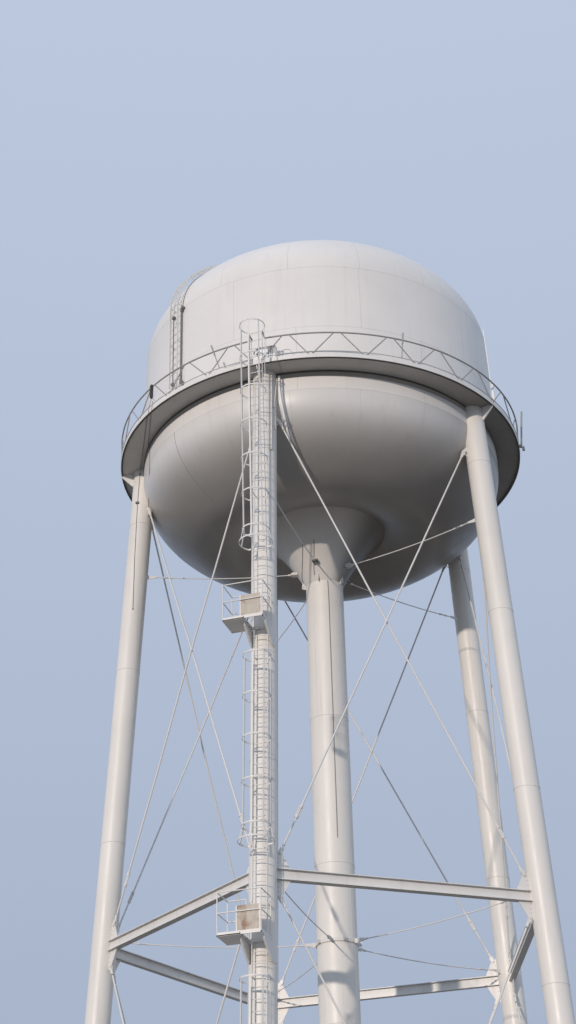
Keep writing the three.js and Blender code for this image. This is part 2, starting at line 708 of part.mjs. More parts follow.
function restPlatform(level) {
  const centre = legCircle(level);
  const inner = PLATFORM.far - PLATFORM.edge - GUARD.inset;
  const guard = box(v(centre + inner - GUARD.thickness, GUARD.left, level),
    v(centre + inner, GUARD.right, level + GUARD.height));
  const { root, drop, toe, top, reach } = KNEE;
  const knees = KNEE.sides.map((y) => uprightPlate([
    [root, -drop], [root + LEG_RADIUS, -drop], [reach, -toe], [reach, -top], [root, -top],
  ], KNEE.thickness, y).translate(centre, 0, level));
  const pieces = [...platformFrame(centre, level), ...platformRails(centre, level), guard, ...knees];
  return join(pieces).subtract(solid(legTube(LEG_RADIUS + GAP, level - LEG_CUT, level + LEG_CUT)));
}

// Roof ladder, up the shell and over the knuckle of the roof
function roofLadderPath(offset) {
  const { bottom, inner, steps } = ROOF_LADDER;
  const radius = TANK_RADIUS + offset;
  return [[radius, bottom], ...shifted(ellipse(radius, ROOF_RISE + offset, inner, steps), SHELL_TOP)];
}

function roofLadderRungs() {
  const path = roofLadderPath(ROOF_LADDER.standoff).map(([x, z]) => v(x, 0, z));
  const curve = new THREE.CurvePath();
  path.slice(1).forEach((point, i) => curve.add(new THREE.LineCurve3(path[i], point)));
  const count = Math.floor(curve.getLength() / LADDER.pitch);
  return Array.from({ length: count }, (_, i) => rung(curve.getPointAt((i + 0.5) / count)));
}

// Flat feet from the shell, and two that stand on the roof at the ladder's inner end
function roofLadderFeet(y) {
  const { bottom, standoff, feet, crown } = ROOF_LADDER;
  const [low, high] = [y - LADDER.width / 2, y + LADDER.width / 2];
  const [x, z] = roofLadderPath(standoff - LADDER.depth / 2).at(-1);
  return [
    ...feet.map((rise) => box(
      v(TANK_RADIUS - ARM.sunk, low, bottom + rise - ARM.height / 2),
      v(TANK_RADIUS + standoff, high, bottom + rise + ARM.height / 2),
    )),
    box(v(x, low, z - 2 * standoff), v(x + crown, high, z + BITE)),
  ];
}

function roofLadder(envelope, azimuth) {
  const { standoff } = ROOF_LADDER;
  const half = LADDER.depth / 2;
  const outline = [...roofLadderPath(standoff + half), ...roofLadderPath(standoff - half).reverse()];
  const sides = [-LADDER.half, LADDER.half].flatMap((y) => [
    uprightPlate(outline, LADDER.width, y), ...roofLadderFeet(y),
  ]);
  return join([...sides, ...roofLadderRungs()])
    .subtract(facing(envelope, azimuth))
    .subtract(facing(domeSolid(GAP), azimuth));
}

// Overflow pipe, down the outside of the bowl
class BowlLine extends THREE.Curve {
  getPoint(t, target = v(0, 0, 0)) {
    const { radius, top, end } = OVERFLOW;
    const reach = radius + GAP;
    const straight = top - SHELL_BOTTOM;
    const share = straight / (BOWL_DEPTH + straight);
    if (t < share) return target.set(TANK_RADIUS + reach, 0, top - straight * (t / share));
    const angle = (end * (t - share)) / (1 - share);
    const drop = (BOWL_DEPTH + reach) * Math.sin(angle);
    return target.set((TANK_RADIUS + reach) * Math.cos(angle), 0, SHELL_BOTTOM - drop);
  }
}

function overflowPipe(envelope, azimuth) {
  const { radius, sides, steps } = OVERFLOW;
  const circle = arcPoints(radius, 0, 2 * Math.PI, sides).slice(0, -1);
  const outline = new THREE.Shape(circle.map(([x, y]) => new THREE.Vector2(x, y)));
  const settings = { steps, extrudePath: new BowlLine(), bevelEnabled: false };
  return solid(new THREE.ExtrudeGeometry(outline, settings)).subtract(facing(envelope, azimuth));
}

function cabinet() {
  const { radius, width, depth, height } = CABINET;
  const low = v(radius - depth / 2, -width / 2, DECK_TOP);
  return solid(box(low, v(radius + depth / 2, width / 2, DECK_TOP + height)));
}

function mast() {
  const { circle, height, radius, sides } = MAST;
  return solid(bar(v(circle, 0, DECK_TOP), v(circle, 0, DECK_TOP + height), radius, sides));
}

// Assembly
const tower = new THREE.Group();
tower.scale.setScalar(MODEL_SCALE);

const finishes = {
  tank: new THREE.MeshStandardMaterial({ color: COLOURS.tank, roughness: 0.45, metalness: 0.0 }),
  steel: new THREE.MeshStandardMaterial({ color: COLOURS.steel, roughness: 0.5, metalness: 0.0 }),
  underside: new THREE.MeshStandardMaterial({ color: COLOURS.underside, roughness: 0.6, metalness: 0.0 }),
  rail: new THREE.MeshStandardMaterial({ color: COLOURS.rail, roughness: 0.5, metalness: 0.3 }),
  fitting: new THREE.MeshStandardMaterial({ color: COLOURS.fitting, roughness: 0.5, metalness: 0.2 }),
};

function place(name, geometry, finish, azimuth = 0, inPanel = false) {
  const mesh = new THREE.Mesh(geometry, finishes[finish]);
  mesh.name = name;
  const turned = new THREE.Group();
  turned.rotation.z = azimuth;
  if (inPanel) mesh.applyMatrix4(panelMatrix());
  turned.add(mesh);
  tower.add(turned);
}

const roofLadderAzimuth = LADDER_LEG_AZIMUTH + ROOF_LADDER.azimuth;
const overflowAzimuth = LADDER_LEG_AZIMUTH + OVERFLOW.azimuth;

function addTank() {
  place('tank_roof', geometryOf(tankRoof()), 'tank');
  place('tank_shell', geometryOf(tankShell()), 'tank');
  place('tank_bowl', geometryOf(tankBowl()), 'tank');
  place('riser_bell', geometryOf(riserBell()), 'tank');
  place('riser_pipe', geometryOf(riserPipe()), 'tank');
  place('roof_vent', geometryOf(roofVent()), 'steel');
  place('roof_hatch', geometryOf(roofHatch(roofLadderAzimuth)), 'steel', roofLadderAzimuth);
}

function addFrame(envelope) {
  const shapes = {
    leg: geometryOf(leg(envelope)),
    bracket: geometryOf(balconyBracket()),
    strut: geometryOf(strut()),
    upper: geometryOf(crossedRods(UPPER_RODS)),
    lower: geometryOf(crossedRods(LOWER_RODS)),
  };
  for (let i = 0; i < LEG_COUNT; i += 1) {
    const azimuth = LADDER_LEG_AZIMUTH + i * LEG_STEP;
    place(`leg_${i + 1}`, shapes.leg, 'steel', azimuth);
    place(`balcony_bracket_${i + 1}`, shapes.bracket, 'steel', azimuth);
    place(`strut_${i + 1}`, shapes.strut, 'steel', azimuth + HALF_STEP, true);
    place(`upper_rods_${i + 1}`, shapes.upper, 'steel', azimuth + HALF_STEP, true);
    place(`lower_rods_${i + 1}`, shapes.lower, 'steel', azimuth + HALF_STEP, true);
  }
  const bell = core(bellProfile(2 * GAP), TANK_SEGMENTS);
  const riser = core([[RISER_RADIUS + GAP, 0], [RISER_RADIUS + GAP, RISER_TOP]], RISER_SEGMENTS);
  place('upper_stays', geometryOf(riserStays(UPPER_STAYS, bell)), 'steel');
  place('lower_stays', geometryOf(riserStays(LOWER_STAYS, riser)), 'steel');
}

function addBalcony() {
  const floor = geometryOf(balconyFloor());
  for (let i = 0; i < LEG_COUNT; i += 1) {
    const azimuth = LADDER_LEG_AZIMUTH + i * LEG_STEP;
    const from = i === 0 ? GATE.to : DECK_SEAM;
    const to = i === LEG_COUNT - 1 ? LEG_STEP + GATE.from : LEG_STEP - DECK_SEAM;
    place(`balcony_floor_${i + 1}`, floor, 'underside', azimuth);
    place(`handrail_${i + 1}`, geometryOf(handrail(from, to)), 'rail', azimuth);
  }
}

function addLadders(envelope) {
  const stops = [LADDER_FOOT, ...PLATFORM_LEVELS, BALCONY_LEVEL];
  for (let i = 0; i < stops.length - 1; i += 1) {
    const low = stops[i] + (i === 0 ? 0 : LADDER_JOINT);
    const ladder = geometryOf(legLadder(low, stops[i + 1]));
    place(`leg_ladder_${i + 1}`, ladder, 'steel', LADDER_LEG_AZIMUTH);
  }
  const head = ladderHead(BALCONY_LEVEL + LADDER_JOINT, LADDER_HEAD.top);
  place('ladder_head', geometryOf(head), 'steel', LADDER_LEG_AZIMUTH);
  PLATFORM_LEVELS.forEach((level, i) => {
    place(`rest_platform_${i + 1}`, geometryOf(restPlatform(level)), 'steel', LADDER_LEG_AZIMUTH);
  });
  const ladder = geometryOf(roofLadder(envelope, roofLadderAzimuth));
  place('roof_ladder', ladder, 'rail', roofLadderAzimuth);
}

function addFittings(envelope) {
  const pipe = geometryOf(overflowPipe(envelope, overflowAzimuth));
  place('overflow_pipe', pipe, 'tank', overflowAzimuth);
  place('balcony_cabinet', geometryOf(cabinet()), 'fitting', LADDER_LEG_AZIMUTH + CABINET.azimuth);
  place('balcony_mast', geometryOf(mast()), 'fitting', LADDER_LEG_AZIMUTH + MAST.azimuth);
}

const envelope = tankEnvelope();
addTank();
addFrame(envelope);
addBalcony();
addLadders(envelope);
addFittings(envelope);

export default tower;
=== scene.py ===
"""Looks of an elevated water tower: painted plate, weld seams, round rods with forks and
turnbuckles, caged ladders, rest platforms, balcony rails and small fittings.

Lengths are those of the real tower in millimetres, in the part's own frame, with +Z up and
the riser's centre at ground level as origin. MM turns them into the model's metres."""

import math

import bmesh
import bpy
import numpy as np
from mathutils import Matrix, Vector


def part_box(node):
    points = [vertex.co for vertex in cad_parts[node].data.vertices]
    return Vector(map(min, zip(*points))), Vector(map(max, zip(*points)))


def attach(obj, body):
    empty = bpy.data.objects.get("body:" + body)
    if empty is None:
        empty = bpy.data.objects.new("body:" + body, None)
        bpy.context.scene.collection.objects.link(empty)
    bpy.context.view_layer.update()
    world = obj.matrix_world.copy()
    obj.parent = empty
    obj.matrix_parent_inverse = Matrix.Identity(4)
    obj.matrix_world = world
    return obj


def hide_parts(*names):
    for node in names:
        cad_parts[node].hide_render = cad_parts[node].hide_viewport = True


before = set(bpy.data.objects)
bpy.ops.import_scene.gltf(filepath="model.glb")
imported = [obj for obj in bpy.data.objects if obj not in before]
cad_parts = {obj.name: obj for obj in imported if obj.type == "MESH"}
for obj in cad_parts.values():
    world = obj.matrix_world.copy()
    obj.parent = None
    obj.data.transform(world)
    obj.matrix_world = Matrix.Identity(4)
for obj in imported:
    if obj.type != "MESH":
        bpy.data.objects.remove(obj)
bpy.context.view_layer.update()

MM = 0.0005
TAU = 2 * math.pi
QUARTER = math.pi / 2
UP, OUT, SLANT = (0, 0, 1), (1, 0, 0), (0.3, 0.2, 1)
SHARP_ANGLE = math.radians(32)
# How far ribs and small pieces reach into the plate behind them
SUNK, LAP = 6, 4


def real_box(node):
    """Lowest and highest corner of a CAD node, in millimetres of the real tower."""
    low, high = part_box(node)
    return low / MM, high / MM


# Tank, read from the frame
shell_low, shell_high = real_box("tank_shell")
TANK_RADIUS = shell_high.x
SHELL_BOTTOM, SHELL_TOP = shell_low.z, shell_high.z
ROOF_TOP = real_box("tank_roof")[1].z
BELL_LOW, BELL_HIGH = real_box("riser_bell")
CREASE_RADIUS = BELL_HIGH.y
BELL_STEEPNESS = 1.976
RISER_TOP = real_box("riser_pipe")[1].z
PLATE = 26
BOWL_DEPTH = 3100
KNUCKLE = {"slope": math.radians(29), "radius": 2200, "steps": 30}
BOWL_STEPS = 36
TANK_SIDES = 240
TANK_SEAM = (30, 2)
SHELL_PLATES = 9
ROOF_PETALS = {"count": 16, "shift": 0.35, "crown": 1500}
BOWL_PETALS = {"count": 17, "first": math.radians(-124.8), "rim": 6}
VENT = {
    "neck": 330, "sides": 64, "sunk": 40, "flange": 90, "thickness": 50, "stub": 330, "inset": 30,
    "screen": (335, 180), "bars": (345, 110), "bar": (40, 10), "count": 12,
}
# Points of the vent's hood: share of its radius, what is taken off, and how far under its top
VENT_HOOD = (
    (0, 0, 36), (0.5, 0, 66), (0.8, 0, 120), (1, 6, 205), (1, 6, 262), (1, 0, 262), (1, 0, 200),
    (0.82, 0, 104), (0.5, 0, 36), (0.2, 0, 6), (0, 0, 0),
)
HATCH = {"sides": 48, "overhang": 30, "lid": 45, "hinge": 60, "handle_inset": 120, "handle": 70}

# Riser
RISER_RADIUS = 612
RISER_WALL = 24
RISER_FOOT = {"radius": 930, "thickness": 60}
RISER_RIBS = {"count": 12, "thickness": 20, "inset": 60, "toe": 40, "height": 320, "bolts": 110}
RISER_CANS = {"count": 6, "first": math.radians(-76), "turn": math.radians(137), "seam": (22, 5)}
RISER_SIDES = 96
CAN_WELD = 8

# Legs, struts and rods
LEG_COUNT = 5
LEG_STEP = TAU / LEG_COUNT
HALF_STEP = LEG_STEP / 2
LADDER_LEG = -QUARTER
LEG_RADIUS = 376
LEG_SIDES = 64
LEG_CIRCLE_AT_STRUT = 6920
LEG_BATTER = 0.0535
STRUT_LEVEL = 16880
LEG_CANS = (2900, 8700, 14400, 20100, 25900, 31300)
FOOT = {"half": 600, "thickness": 60, "rib": 24, "top": 380, "reach": 500, "bolts": 940}
GUSSET = {"thickness": 24, "root": 300, "rises": (260, -300)}
STRUT_BOLTS = {"rises": (210, 340, 470), "offset": 420}
BRACKET = {"drop": 480, "foot": 30, "nose": 120, "flange": 52, "thickness": 10}
PIN_OFFSET = 480
PIN_EYE = 70
UPPER_RODS = (31750, STRUT_LEVEL + 620)
LOWER_RODS = (STRUT_LEVEL - 620, 1050)
ROD_RADIUS = 27
ROD_BOW = {"reach": 30, "width": 0.16, "shares": (0.02, 0.3, 0.42, 0.5, 0.58, 0.7, 0.98)}
FORK = {
    "eye": 58, "cheek": 20, "gap": 13, "slot": 96, "neck": 40, "body": 190, "end": 300,
    "pin": 27, "pin_end": 14, "washer": 40,
}
TURNBUCKLE = {"from_pin": 1150, "length": 420, "barrel": 95, "radius": 48, "side": 15, "spread": 42}

# Stays between riser and legs
STAY_RADIUS = 17
STAY_SAG = 95
UPPER_STAYS = {"root": 872, "pin": 972, "level": 29390, "leg": 29390, "cheek": (48, 78)}
LOWER_STAYS = {
    "root": RISER_RADIUS + 27, "pin": RISER_RADIUS + 230, "level": STRUT_LEVEL, "leg": STRUT_LEVEL + 190,
    "cheek": (48, 16),
}
COLLAR = {"thickness": 34, "height": 120, "edge": 6, "ear": (17, 35), "reach": 84, "bolts": 46}
STAY_LUG = {"thickness": 20, "height": 150, "nose": ((10, 0.7), (40, 0.3))}
CLEVIS = {"back": 70, "point": 80, "neck": 70, "nose": 135, "pin": 26, "pin_end": 14, "socket": (120, 240)}
STAY_SHOE = {"half": 75, "reach": 330, "lap": 60, "thickness": 22, "pin": (40, 30, 20)}
STAY_BUCKLE = {"at": 21, "barrels": ((0, 70), (250, 320)), "bars": (20, 300)}
# Legs whose upper stay clevises are painted dark as painted shade
SHADED_CLEVISES = (0, 2)
SPARE_LUG = {
    "level": 28890, "reach": 72, "eye": 66, "hole": 22, "rise": 290, "shoulder": 108, "thickness": 26,
}

# Balcony
BALCONY_LEVEL = real_box("balcony_floor_3")[0].z
BALCONY_RADIUS = 6848
CURB = {"height": 170, "thickness": 20, "lip": 60, "floor": 20, "lip_width": 45, "lip_height": 16}
# Heights of the caulked angle and of the band of painted shadow under the deck
JOINT_AND_SHADOW = {"angle": 60, "soot": 215}
DECK_TOP = BALCONY_LEVEL + CURB["lip"] + CURB["floor"]
LEG_TOP = BALCONY_LEVEL + CURB["lip"] - 1
RAIL = {
    "height": 950, "radius": 26, "bar": 19, "low": 15, "post": 13, "bays": 5, "low_rise": 245,
    "inset": math.radians(0.3), "shoe": ((-34, -26, -8), (30, 26, 9)),
}
DECK_SEAM, CURB_SEAM = (26, 6), (22, 3)
RAIL_CIRCLE = BALCONY_RADIUS - CURB["thickness"] / 2
RAIL_APEX = math.radians(0.9)
RAIL_FOOT = math.radians(0.6)
GATE = (math.radians(-1.1), math.radians(2.3))
GATE_FOOT = math.radians(1.5)
FIRST_SHIFT = math.radians(0.8)

# Ladders, cages and rest platforms
LADDER = {
    "half": 205, "depth": 62, "width": 14, "rung": 13, "pitch": 305, "offset": 560, "shift": 110,
    "rung_end": 12,
}
LADDER_HEAD = {"radius": 6985, "shift": 30, "top": 34520}
LADDER_FOOT = 63
ARM = {"width": 14, "height": 50, "spacing": 3660, "first": 900, "last": 400}
CAGE = {"radius": 395, "centre": 350, "strip": 12, "width": 44, "hoop": 46, "steps": 28}
CAGE_SPREAD = math.radians(149)
CAGE_STRIPS = [math.radians(angle) for angle in (-100, -50, 0, 50, 100)]
CAGE_FLARE = {"radius": 490, "drop": 420}
PLATFORM_LEVELS = (5740, 14930, 24120)
CAGE_LIFT = 2950
CAGE_HEADROOM = 1150
HOOP_SPACING = 1230
PLATFORM = {
    "left": -830, "right": 375, "near": 395, "far": 1210, "floor": 26, "curb": 95, "edge": 24,
    "hatch": -190, "top": 1120, "middle": 570, "rail": 17, "back": -300, "bars": 11,
    "bar": 9, "bar_height": 7, "sill": (20, 30),
}
KNEE = {
    "thickness": 20, "root": 60, "drop": 560, "toe": 130, "reach": 980, "sides": (-250, 363),
    "flange": (56, 8),
}
GUARD = {
    "left": -320, "right": 330, "height": 720, "inset": 27, "gap": 20, "sheet": 10, "post": 14,
    "bar": (30, 8),
}
ROOF_LADDER = {
    "azimuth": math.radians(-33.3), "bottom": 34400, "standoff": 190, "inner": 1500, "dark_top": 37150,
    "brackets": (0.02, 0.18, 0.34, 0.5, 0.66, 0.82, 0.98), "bracket": (14, 50), "rung_end": 10,
}
SAFETY_RAIL = {"out": 14, "section": (34, 18), "clamp": (60, 40, 50)}

# Small fittings
BOLTS = {"riser": (24, 34), "foot": (30, 44), "small": (14, 18), "collar": (12, 16), "ladder": (8, 9)}
CABLE, THICK_CABLE = 10, 12
WALL_PIPE = {
    "azimuth": math.radians(-121.1), "standoff": 60, "radius": 28, "low": 34480, "high": 37410, "box": 66,
    "veer": math.radians(1.2), "cable_drop": 900, "cable_gap": 16, "cable": 11, "clamp": (36, 40, 30, 60),
}
OVERFLOW = {
    "radius": 40, "top": 33300, "end": math.radians(27),
    "from": math.radians(-85.4), "to": math.radians(-84.0),
}
CABINET = {
    "corner": 200, "recess": 15, "lid": 16, "lid_end": 34, "lid_side": (26, 30), "door": (230, 300, 8, 44),
    "cover_place": (150, 240), "cover": 74, "hub": 34, "foot": (40, 20),
}
MAST = {
    "height": 1050, "radius": 44, "base": 60, "whip": 15, "whip_low": 700, "whip_out": (10, 115),
    "whip_side": 56, "clamps": (760, 980), "clamp": ((30, 80), (30, 46)), "clamp_half": 16,
}
ANTENNA = {
    "azimuth": math.radians(7), "reach": 6915, "radius": 31, "low": 60, "high": 1500, "lean": 130,
    "clamps": (0.02, 0.065), "clamp": (76, 34, 40, 14), "box": ((24, -120), (112, 20)),
}
# Foot and head of each rail rod: degrees about the riser, and height over the balcony's level
RAIL_RODS = {
    "ends": (((-100.7, 240), (-103.2, 1215)), ((-51.1, 240), (-50.3, 1215))),
    "radius": 15, "thick": 25, "joint": 0.55,
}
SLIM_BOX = {
    "azimuth": math.radians(-126), "low": 474, "high": 985, "half": 46, "out": 40, "bevel": 60,
    "arm": ((60, 24, 150), (0, 24, 110)), "cable": ((-20, 30, 20), (-26, 90, -90), (-32, 130, -150)),
}
RAIL_OUT = 26
# Each conduit: leg, points of (degrees about the leg, level), radius, and which paint of the piece
LEG_LINES = (
    (0, ((49.5, 33222), (49.5, 30376)), 28, 0),
    (0, ((89.0, 33245), (73.2, 32548), (64.4, 32012)), 26, 0),
    (0, ((73.2, 31887), (73.2, 31197)), 22, 0),
    (4, ((68, 33250), (69, 32076), (71.5, 31500), (75.5, 30700), (79.5, 29859), (84, 29291), (93, 28000)),
     11, 2),
)
LEG_CLAMP = (4, 68.5, 32076)
# Cables on the bell, as points of (degrees about the riser, radius)
BELL_CABLES = (
    ((-104.5, 1310), (-106.1, 1246), (-113.2, 1077), (-123.2, 924), (-139.3, 794), (-149.6, 755),
     (-155, 690)),
    ((-87.3, 1290), (-87.9, 1233), (-92.1, 1001), (-98.3, 793), (-101, 700)),
)
# Cables from the rail under the deck, as points of (degrees about the riser, radius, level)
RAIL_CABLES = (
    ((-127.4, 6856, 33700), (-127.8, 6856, 33360), (-128.7, 6815, 33408), (-158.8, 6190, 33408),
     (-158.8, 6188, 33240)),
    ((-125.6, 6856, 33700), (-126.2, 6856, 33360), (-126.8, 6815, 33408), (-144.5, 6090, 33408),
     (-143.3, 6074, 33330), (-143.1, 6074, 32450), (-159.2, 5885, 31871)),
)
# A cable down the riser, as points of (degrees about the riser, level)
RISER_CABLE = ((-63.8, 28840), (-62.8, 28480), (-62.3, 27930), (-62.4, 26900), (-62.4, 20000))
# A loop on the low rail, as points of (degrees from the gate, height over the balcony's level)
LOOP = ((6.5, 245), (6.7, 335), (7.2, 380), (7.9, 396), (8.7, 392), (9.2, 350), (9.5, 245))
# The cabinet's cable, as points of (height over the balcony's level, way in from the rail's circle)
CURB_LINE = {
    "angle": math.radians(5.6),
    "points": ((420, 120), (230, 60), (182, 0), (150, -21), (10, -21), (-12, 0), (48, 30), (48, 735)),
}
GATE_BAR = {"drop": 45, "radius": 25}

# Camera, sun and surroundings
CAMERA = {
    "place": (14073, -49385, 1600), "pitch": 30.497, "yaw": -17.191, "roll": -1.38, "focal": 1750.88,
    "far": 500,
}
IMAGE_HEIGHT = 1024
SENSOR = 36
SUN = {"azimuth": -99.5, "elevation": 11, "strength": 2.05, "angle": 1.2, "colour": (1.0, 0.87, 0.77)}
FILL = {"azimuth": 20, "elevation": 25, "strength": 0.12, "angle": 60, "colour": (0.85, 0.92, 1.0)}
SKY = {"ground": (0.17, 0.165, 0.17), "horizon": (0.36, 0.43, 0.56), "zenith": (0.55, 0.63, 0.78)}
SKY_LEVELS = {"ground": -0.35, "horizon": -0.06, "low": 0.1, "zenith": 0.95}
FLOOR = {"size": 500, "drop": 0.001, "colour": (0.42, 0.41, 0.40)}


def turn(azimuth):
    return np.array(Matrix.Rotation(azimuth, 4, "Z"))


def move(x=0, y=0, z=0):
    return np.array(Matrix.Translation((x, y, z)))


def leg_azimuth(index):
    return LADDER_LEG + index * LEG_STEP


def leg_circle(z):
    return LEG_CIRCLE_AT_STRUT + LEG_BATTER * (STRUT_LEVEL - z)


def polar(radius, azimuth, z=0):
    return radius * math.cos(azimuth), radius * math.sin(azimuth), z


# Mesh building
class Shape:
    """Closed bodies gathered into one mesh, in millimetres of the real tower."""

    def __init__(self):
        self.points = []
        self.faces = []
        self.kinds = []
        self.count = 0

    def add(self, body, matrix=None, kind=0):
        points, faces = body
        points = np.asarray(points, float)
        if matrix is not None:
            points = points @ matrix[:3, :3].T + matrix[:3, 3]
        self.points.append(points)
        self.faces += [tuple(i + self.count for i in face) for face in faces]
        self.kinds += [kind] * len(faces)
        self.count += len(points)


def circle(radius, sides):
    return [polar(radius, TAU * i / sides)[:2] for i in range(sides)]


def rectangle(width, height):
    w, h = width / 2, height / 2
    return [(-w, -h), (w, -h), (w, h), (-w, h)]


def skin(rings, closed_path=False):
    """Faces over equal rings of points, with flat ends unless the path closes on itself."""
    sides, count = len(rings[0]), len(rings)
    faces = []
    for i in range(count if closed_path else count - 1):
        a, b = i * sides, (i + 1) % count * sides
        for k in range(sides):
            n = (k + 1) % sides
            faces.append((a + k, a + n, b + n, b + k))
    if not closed_path:
        faces.append(tuple(reversed(range(sides))))
        faces.append(tuple((count - 1) * sides + k for k in range(sides)))
    return [point for ring in rings for point in ring], faces


def sweep(path, section, up=(0, 0, 1), closed=False):
    """A section swept along a path. Its second axis keeps towards up, one vector or one a point."""
    path = np.asarray(path, float)
    ups = np.broadcast_to(np.asarray(up, float), path.shape)
    count = len(path)
    rings = []
    for i in range(count):
        before = path[i - 1] if closed or i else path[0]
        after = path[(i + 1) % count] if closed or i < count - 1 else path[-1]
        tangent = (after - before) / np.linalg.norm(after - before)
        side = np.cross(tangent, ups[i])
        if np.linalg.norm(side) < 1e-6:
            side = np.cross(tangent, (1, 0, 0))
        side /= np.linalg.norm(side)
        rise = np.cross(side, tangent)
        rings.append([path[i] + a * side + b * rise for a, b in section])
    return skin(rings, closed)


def rod(start, end, radius, sides=12):
    return sweep([start, end], circle(radius, sides))


def flat_bar(start, end, width, height, up=(0, 0, 1)):
    return sweep([start, end], rectangle(width, height), up)


def cuboid(low, high):
    points = [(x, y, z) for z in (low[2], high[2]) for x, y in
              ((low[0], low[1]), (high[0], low[1]), (high[0], high[1]), (low[0], high[1]))]
    return points, [(3, 2, 1, 0), (4, 5, 6, 7), (0, 1, 5, 4), (1, 2, 6, 5), (2, 3, 7, 6), (3, 0, 4, 7)]


def extrude(outline, low, high):
    """A body of any outline between two heights."""
    return skin([[(x, y, z) for x, y in outline] for z in (low, high)])


def prism(outline, thickness):
    """A plate of any outline in the plane of X and Y, centred on it."""
    return extrude(outline, -thickness / 2, thickness / 2)


def upright(outline, thickness, y=0):
    """A plate whose outline lies in the plane of X and Z."""
    points, faces = prism(outline, thickness)
    return [(x, y - z, up) for x, up, z in points], faces


def lathe(profile, sides, closed=True):
    """A profile of (radius, height) turned about the axis. An open one starts and ends on it."""
    points, rings, faces = [], [], []
    for radius, height in profile:
        if radius < 1e-6:
            rings.append([len(points)] * sides)
            points.append((0, 0, height))
        else:
            rings.append([len(points) + k for k in range(sides)])
            points += hoop_path(radius, height, sides)
    for a, b in zip(rings, rings[1:] + (rings[:1] if closed else [])):
        for k in range(sides):
            n = (k + 1) % sides
            corners = list(dict.fromkeys((a[k], a[n], b[n], b[k])))
            if len(corners) > 2:
                faces.append(tuple(corners))
    return points, faces


def hoop_path(radius, level, sides):
    return [(x, y, level) for x, y in circle(radius, sides)]


def band(inner, outer, low, high):
    """The outline of a ring of rectangular section, as (radius, height)."""
    return [(inner, low), (outer, low), (outer, high), (inner, high)]


def bead(width, height):
    """The low round section of a weld, with its foot sunk in the plate."""
    return [(-width / 2, -height), (width / 2, -height), (width / 3, height * 0.7), (0, height),
            (-width / 3, height * 0.7)]


def add_bolt(shape, matrix, size, kind=0):
    """A hexagon head on a washer, standing on the plane of X and Y. Its size is (radius, height)."""
    radius, height = size
    washer, head, shank = (1.5, 16, -2, radius * 0.25), (1.12, 6, 0, height), (0.6, 10, 0, height * 1.5)
    for share, sides, low, high in (washer, head, shank):
        shape.add(extrude(circle(radius * share, sides), low, high), matrix, kind)


def facing(place, normal):
    """A matrix that stands +Z on a normal at a place."""
    rotation = Vector((0, 0, 1)).rotation_difference(Vector(normal)).to_matrix().to_4x4()
    return np.array(Matrix.Translation(place) @ rotation)


def make(name, shape, paints, slot, *nodes, azimuth=0):
    """Turns a shape about the riser and into a piece that rides on the tower and stands for CAD nodes."""
    points = np.concatenate(shape.points) @ turn(azimuth)[:3, :3].T * MM
    mesh = bpy.data.meshes.new(name)
    mesh.from_pydata(points.tolist(), [], shape.faces)
    for paint in paints.split():
        mesh.materials.append(PAINT[paint])
    mesh.polygons.foreach_set("material_index", shape.kinds)
    edited = bmesh.new()
    edited.from_mesh(mesh)
    bmesh.ops.recalc_face_normals(edited, faces=edited.faces)
    edited.to_mesh(mesh)
    edited.free()
    mesh.shade_smooth()
    mesh.set_sharp_from_angle(angle=SHARP_ANGLE)
    piece = bpy.data.objects.new(name, mesh)
    bpy.context.scene.collection.objects.link(piece)
    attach(piece, "root")
    if nodes:
        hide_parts(*nodes)


# Camera, light and floor
def add_camera():
    pitch, yaw, roll = (math.radians(CAMERA[key]) for key in ("pitch", "yaw", "roll"))
    forward = Vector((math.sin(yaw) * math.cos(pitch), math.cos(yaw) * math.cos(pitch), math.sin(pitch)))
    level = Vector((math.cos(yaw), -math.sin(yaw), 0))
    rise = level.cross(forward)
    right = level * math.cos(roll) + rise * math.sin(roll)
    up = rise * math.cos(roll) - level * math.sin(roll)
    data = bpy.data.cameras.new("camera")
    data.sensor_width = SENSOR
    data.lens = CAMERA["focal"] / IMAGE_HEIGHT * SENSOR
    data.clip_end = CAMERA["far"]
    camera = bpy.data.objects.new("camera", data)
    bpy.context.scene.collection.objects.link(camera)
    axes = Matrix((right, up, -forward)).transposed().to_4x4()
    camera.matrix_world = Matrix.Translation(Vector(CAMERA["place"]) * MM) @ axes
    bpy.context.scene.camera = camera


def add_sun(name, azimuth, elevation, strength, angle, colour):
    data = bpy.data.lights.new(name, "SUN")
    data.energy = strength
    data.color = colour
    data.angle = math.radians(angle)
    light = bpy.data.objects.new(name, data)
    raised = math.radians(elevation)
    direction = Vector(polar(math.cos(raised), math.radians(azimuth), math.sin(raised)))
    light.rotation_euler = direction.to_track_quat("Z", "Y").to_euler()
    bpy.context.scene.collection.objects.link(light)


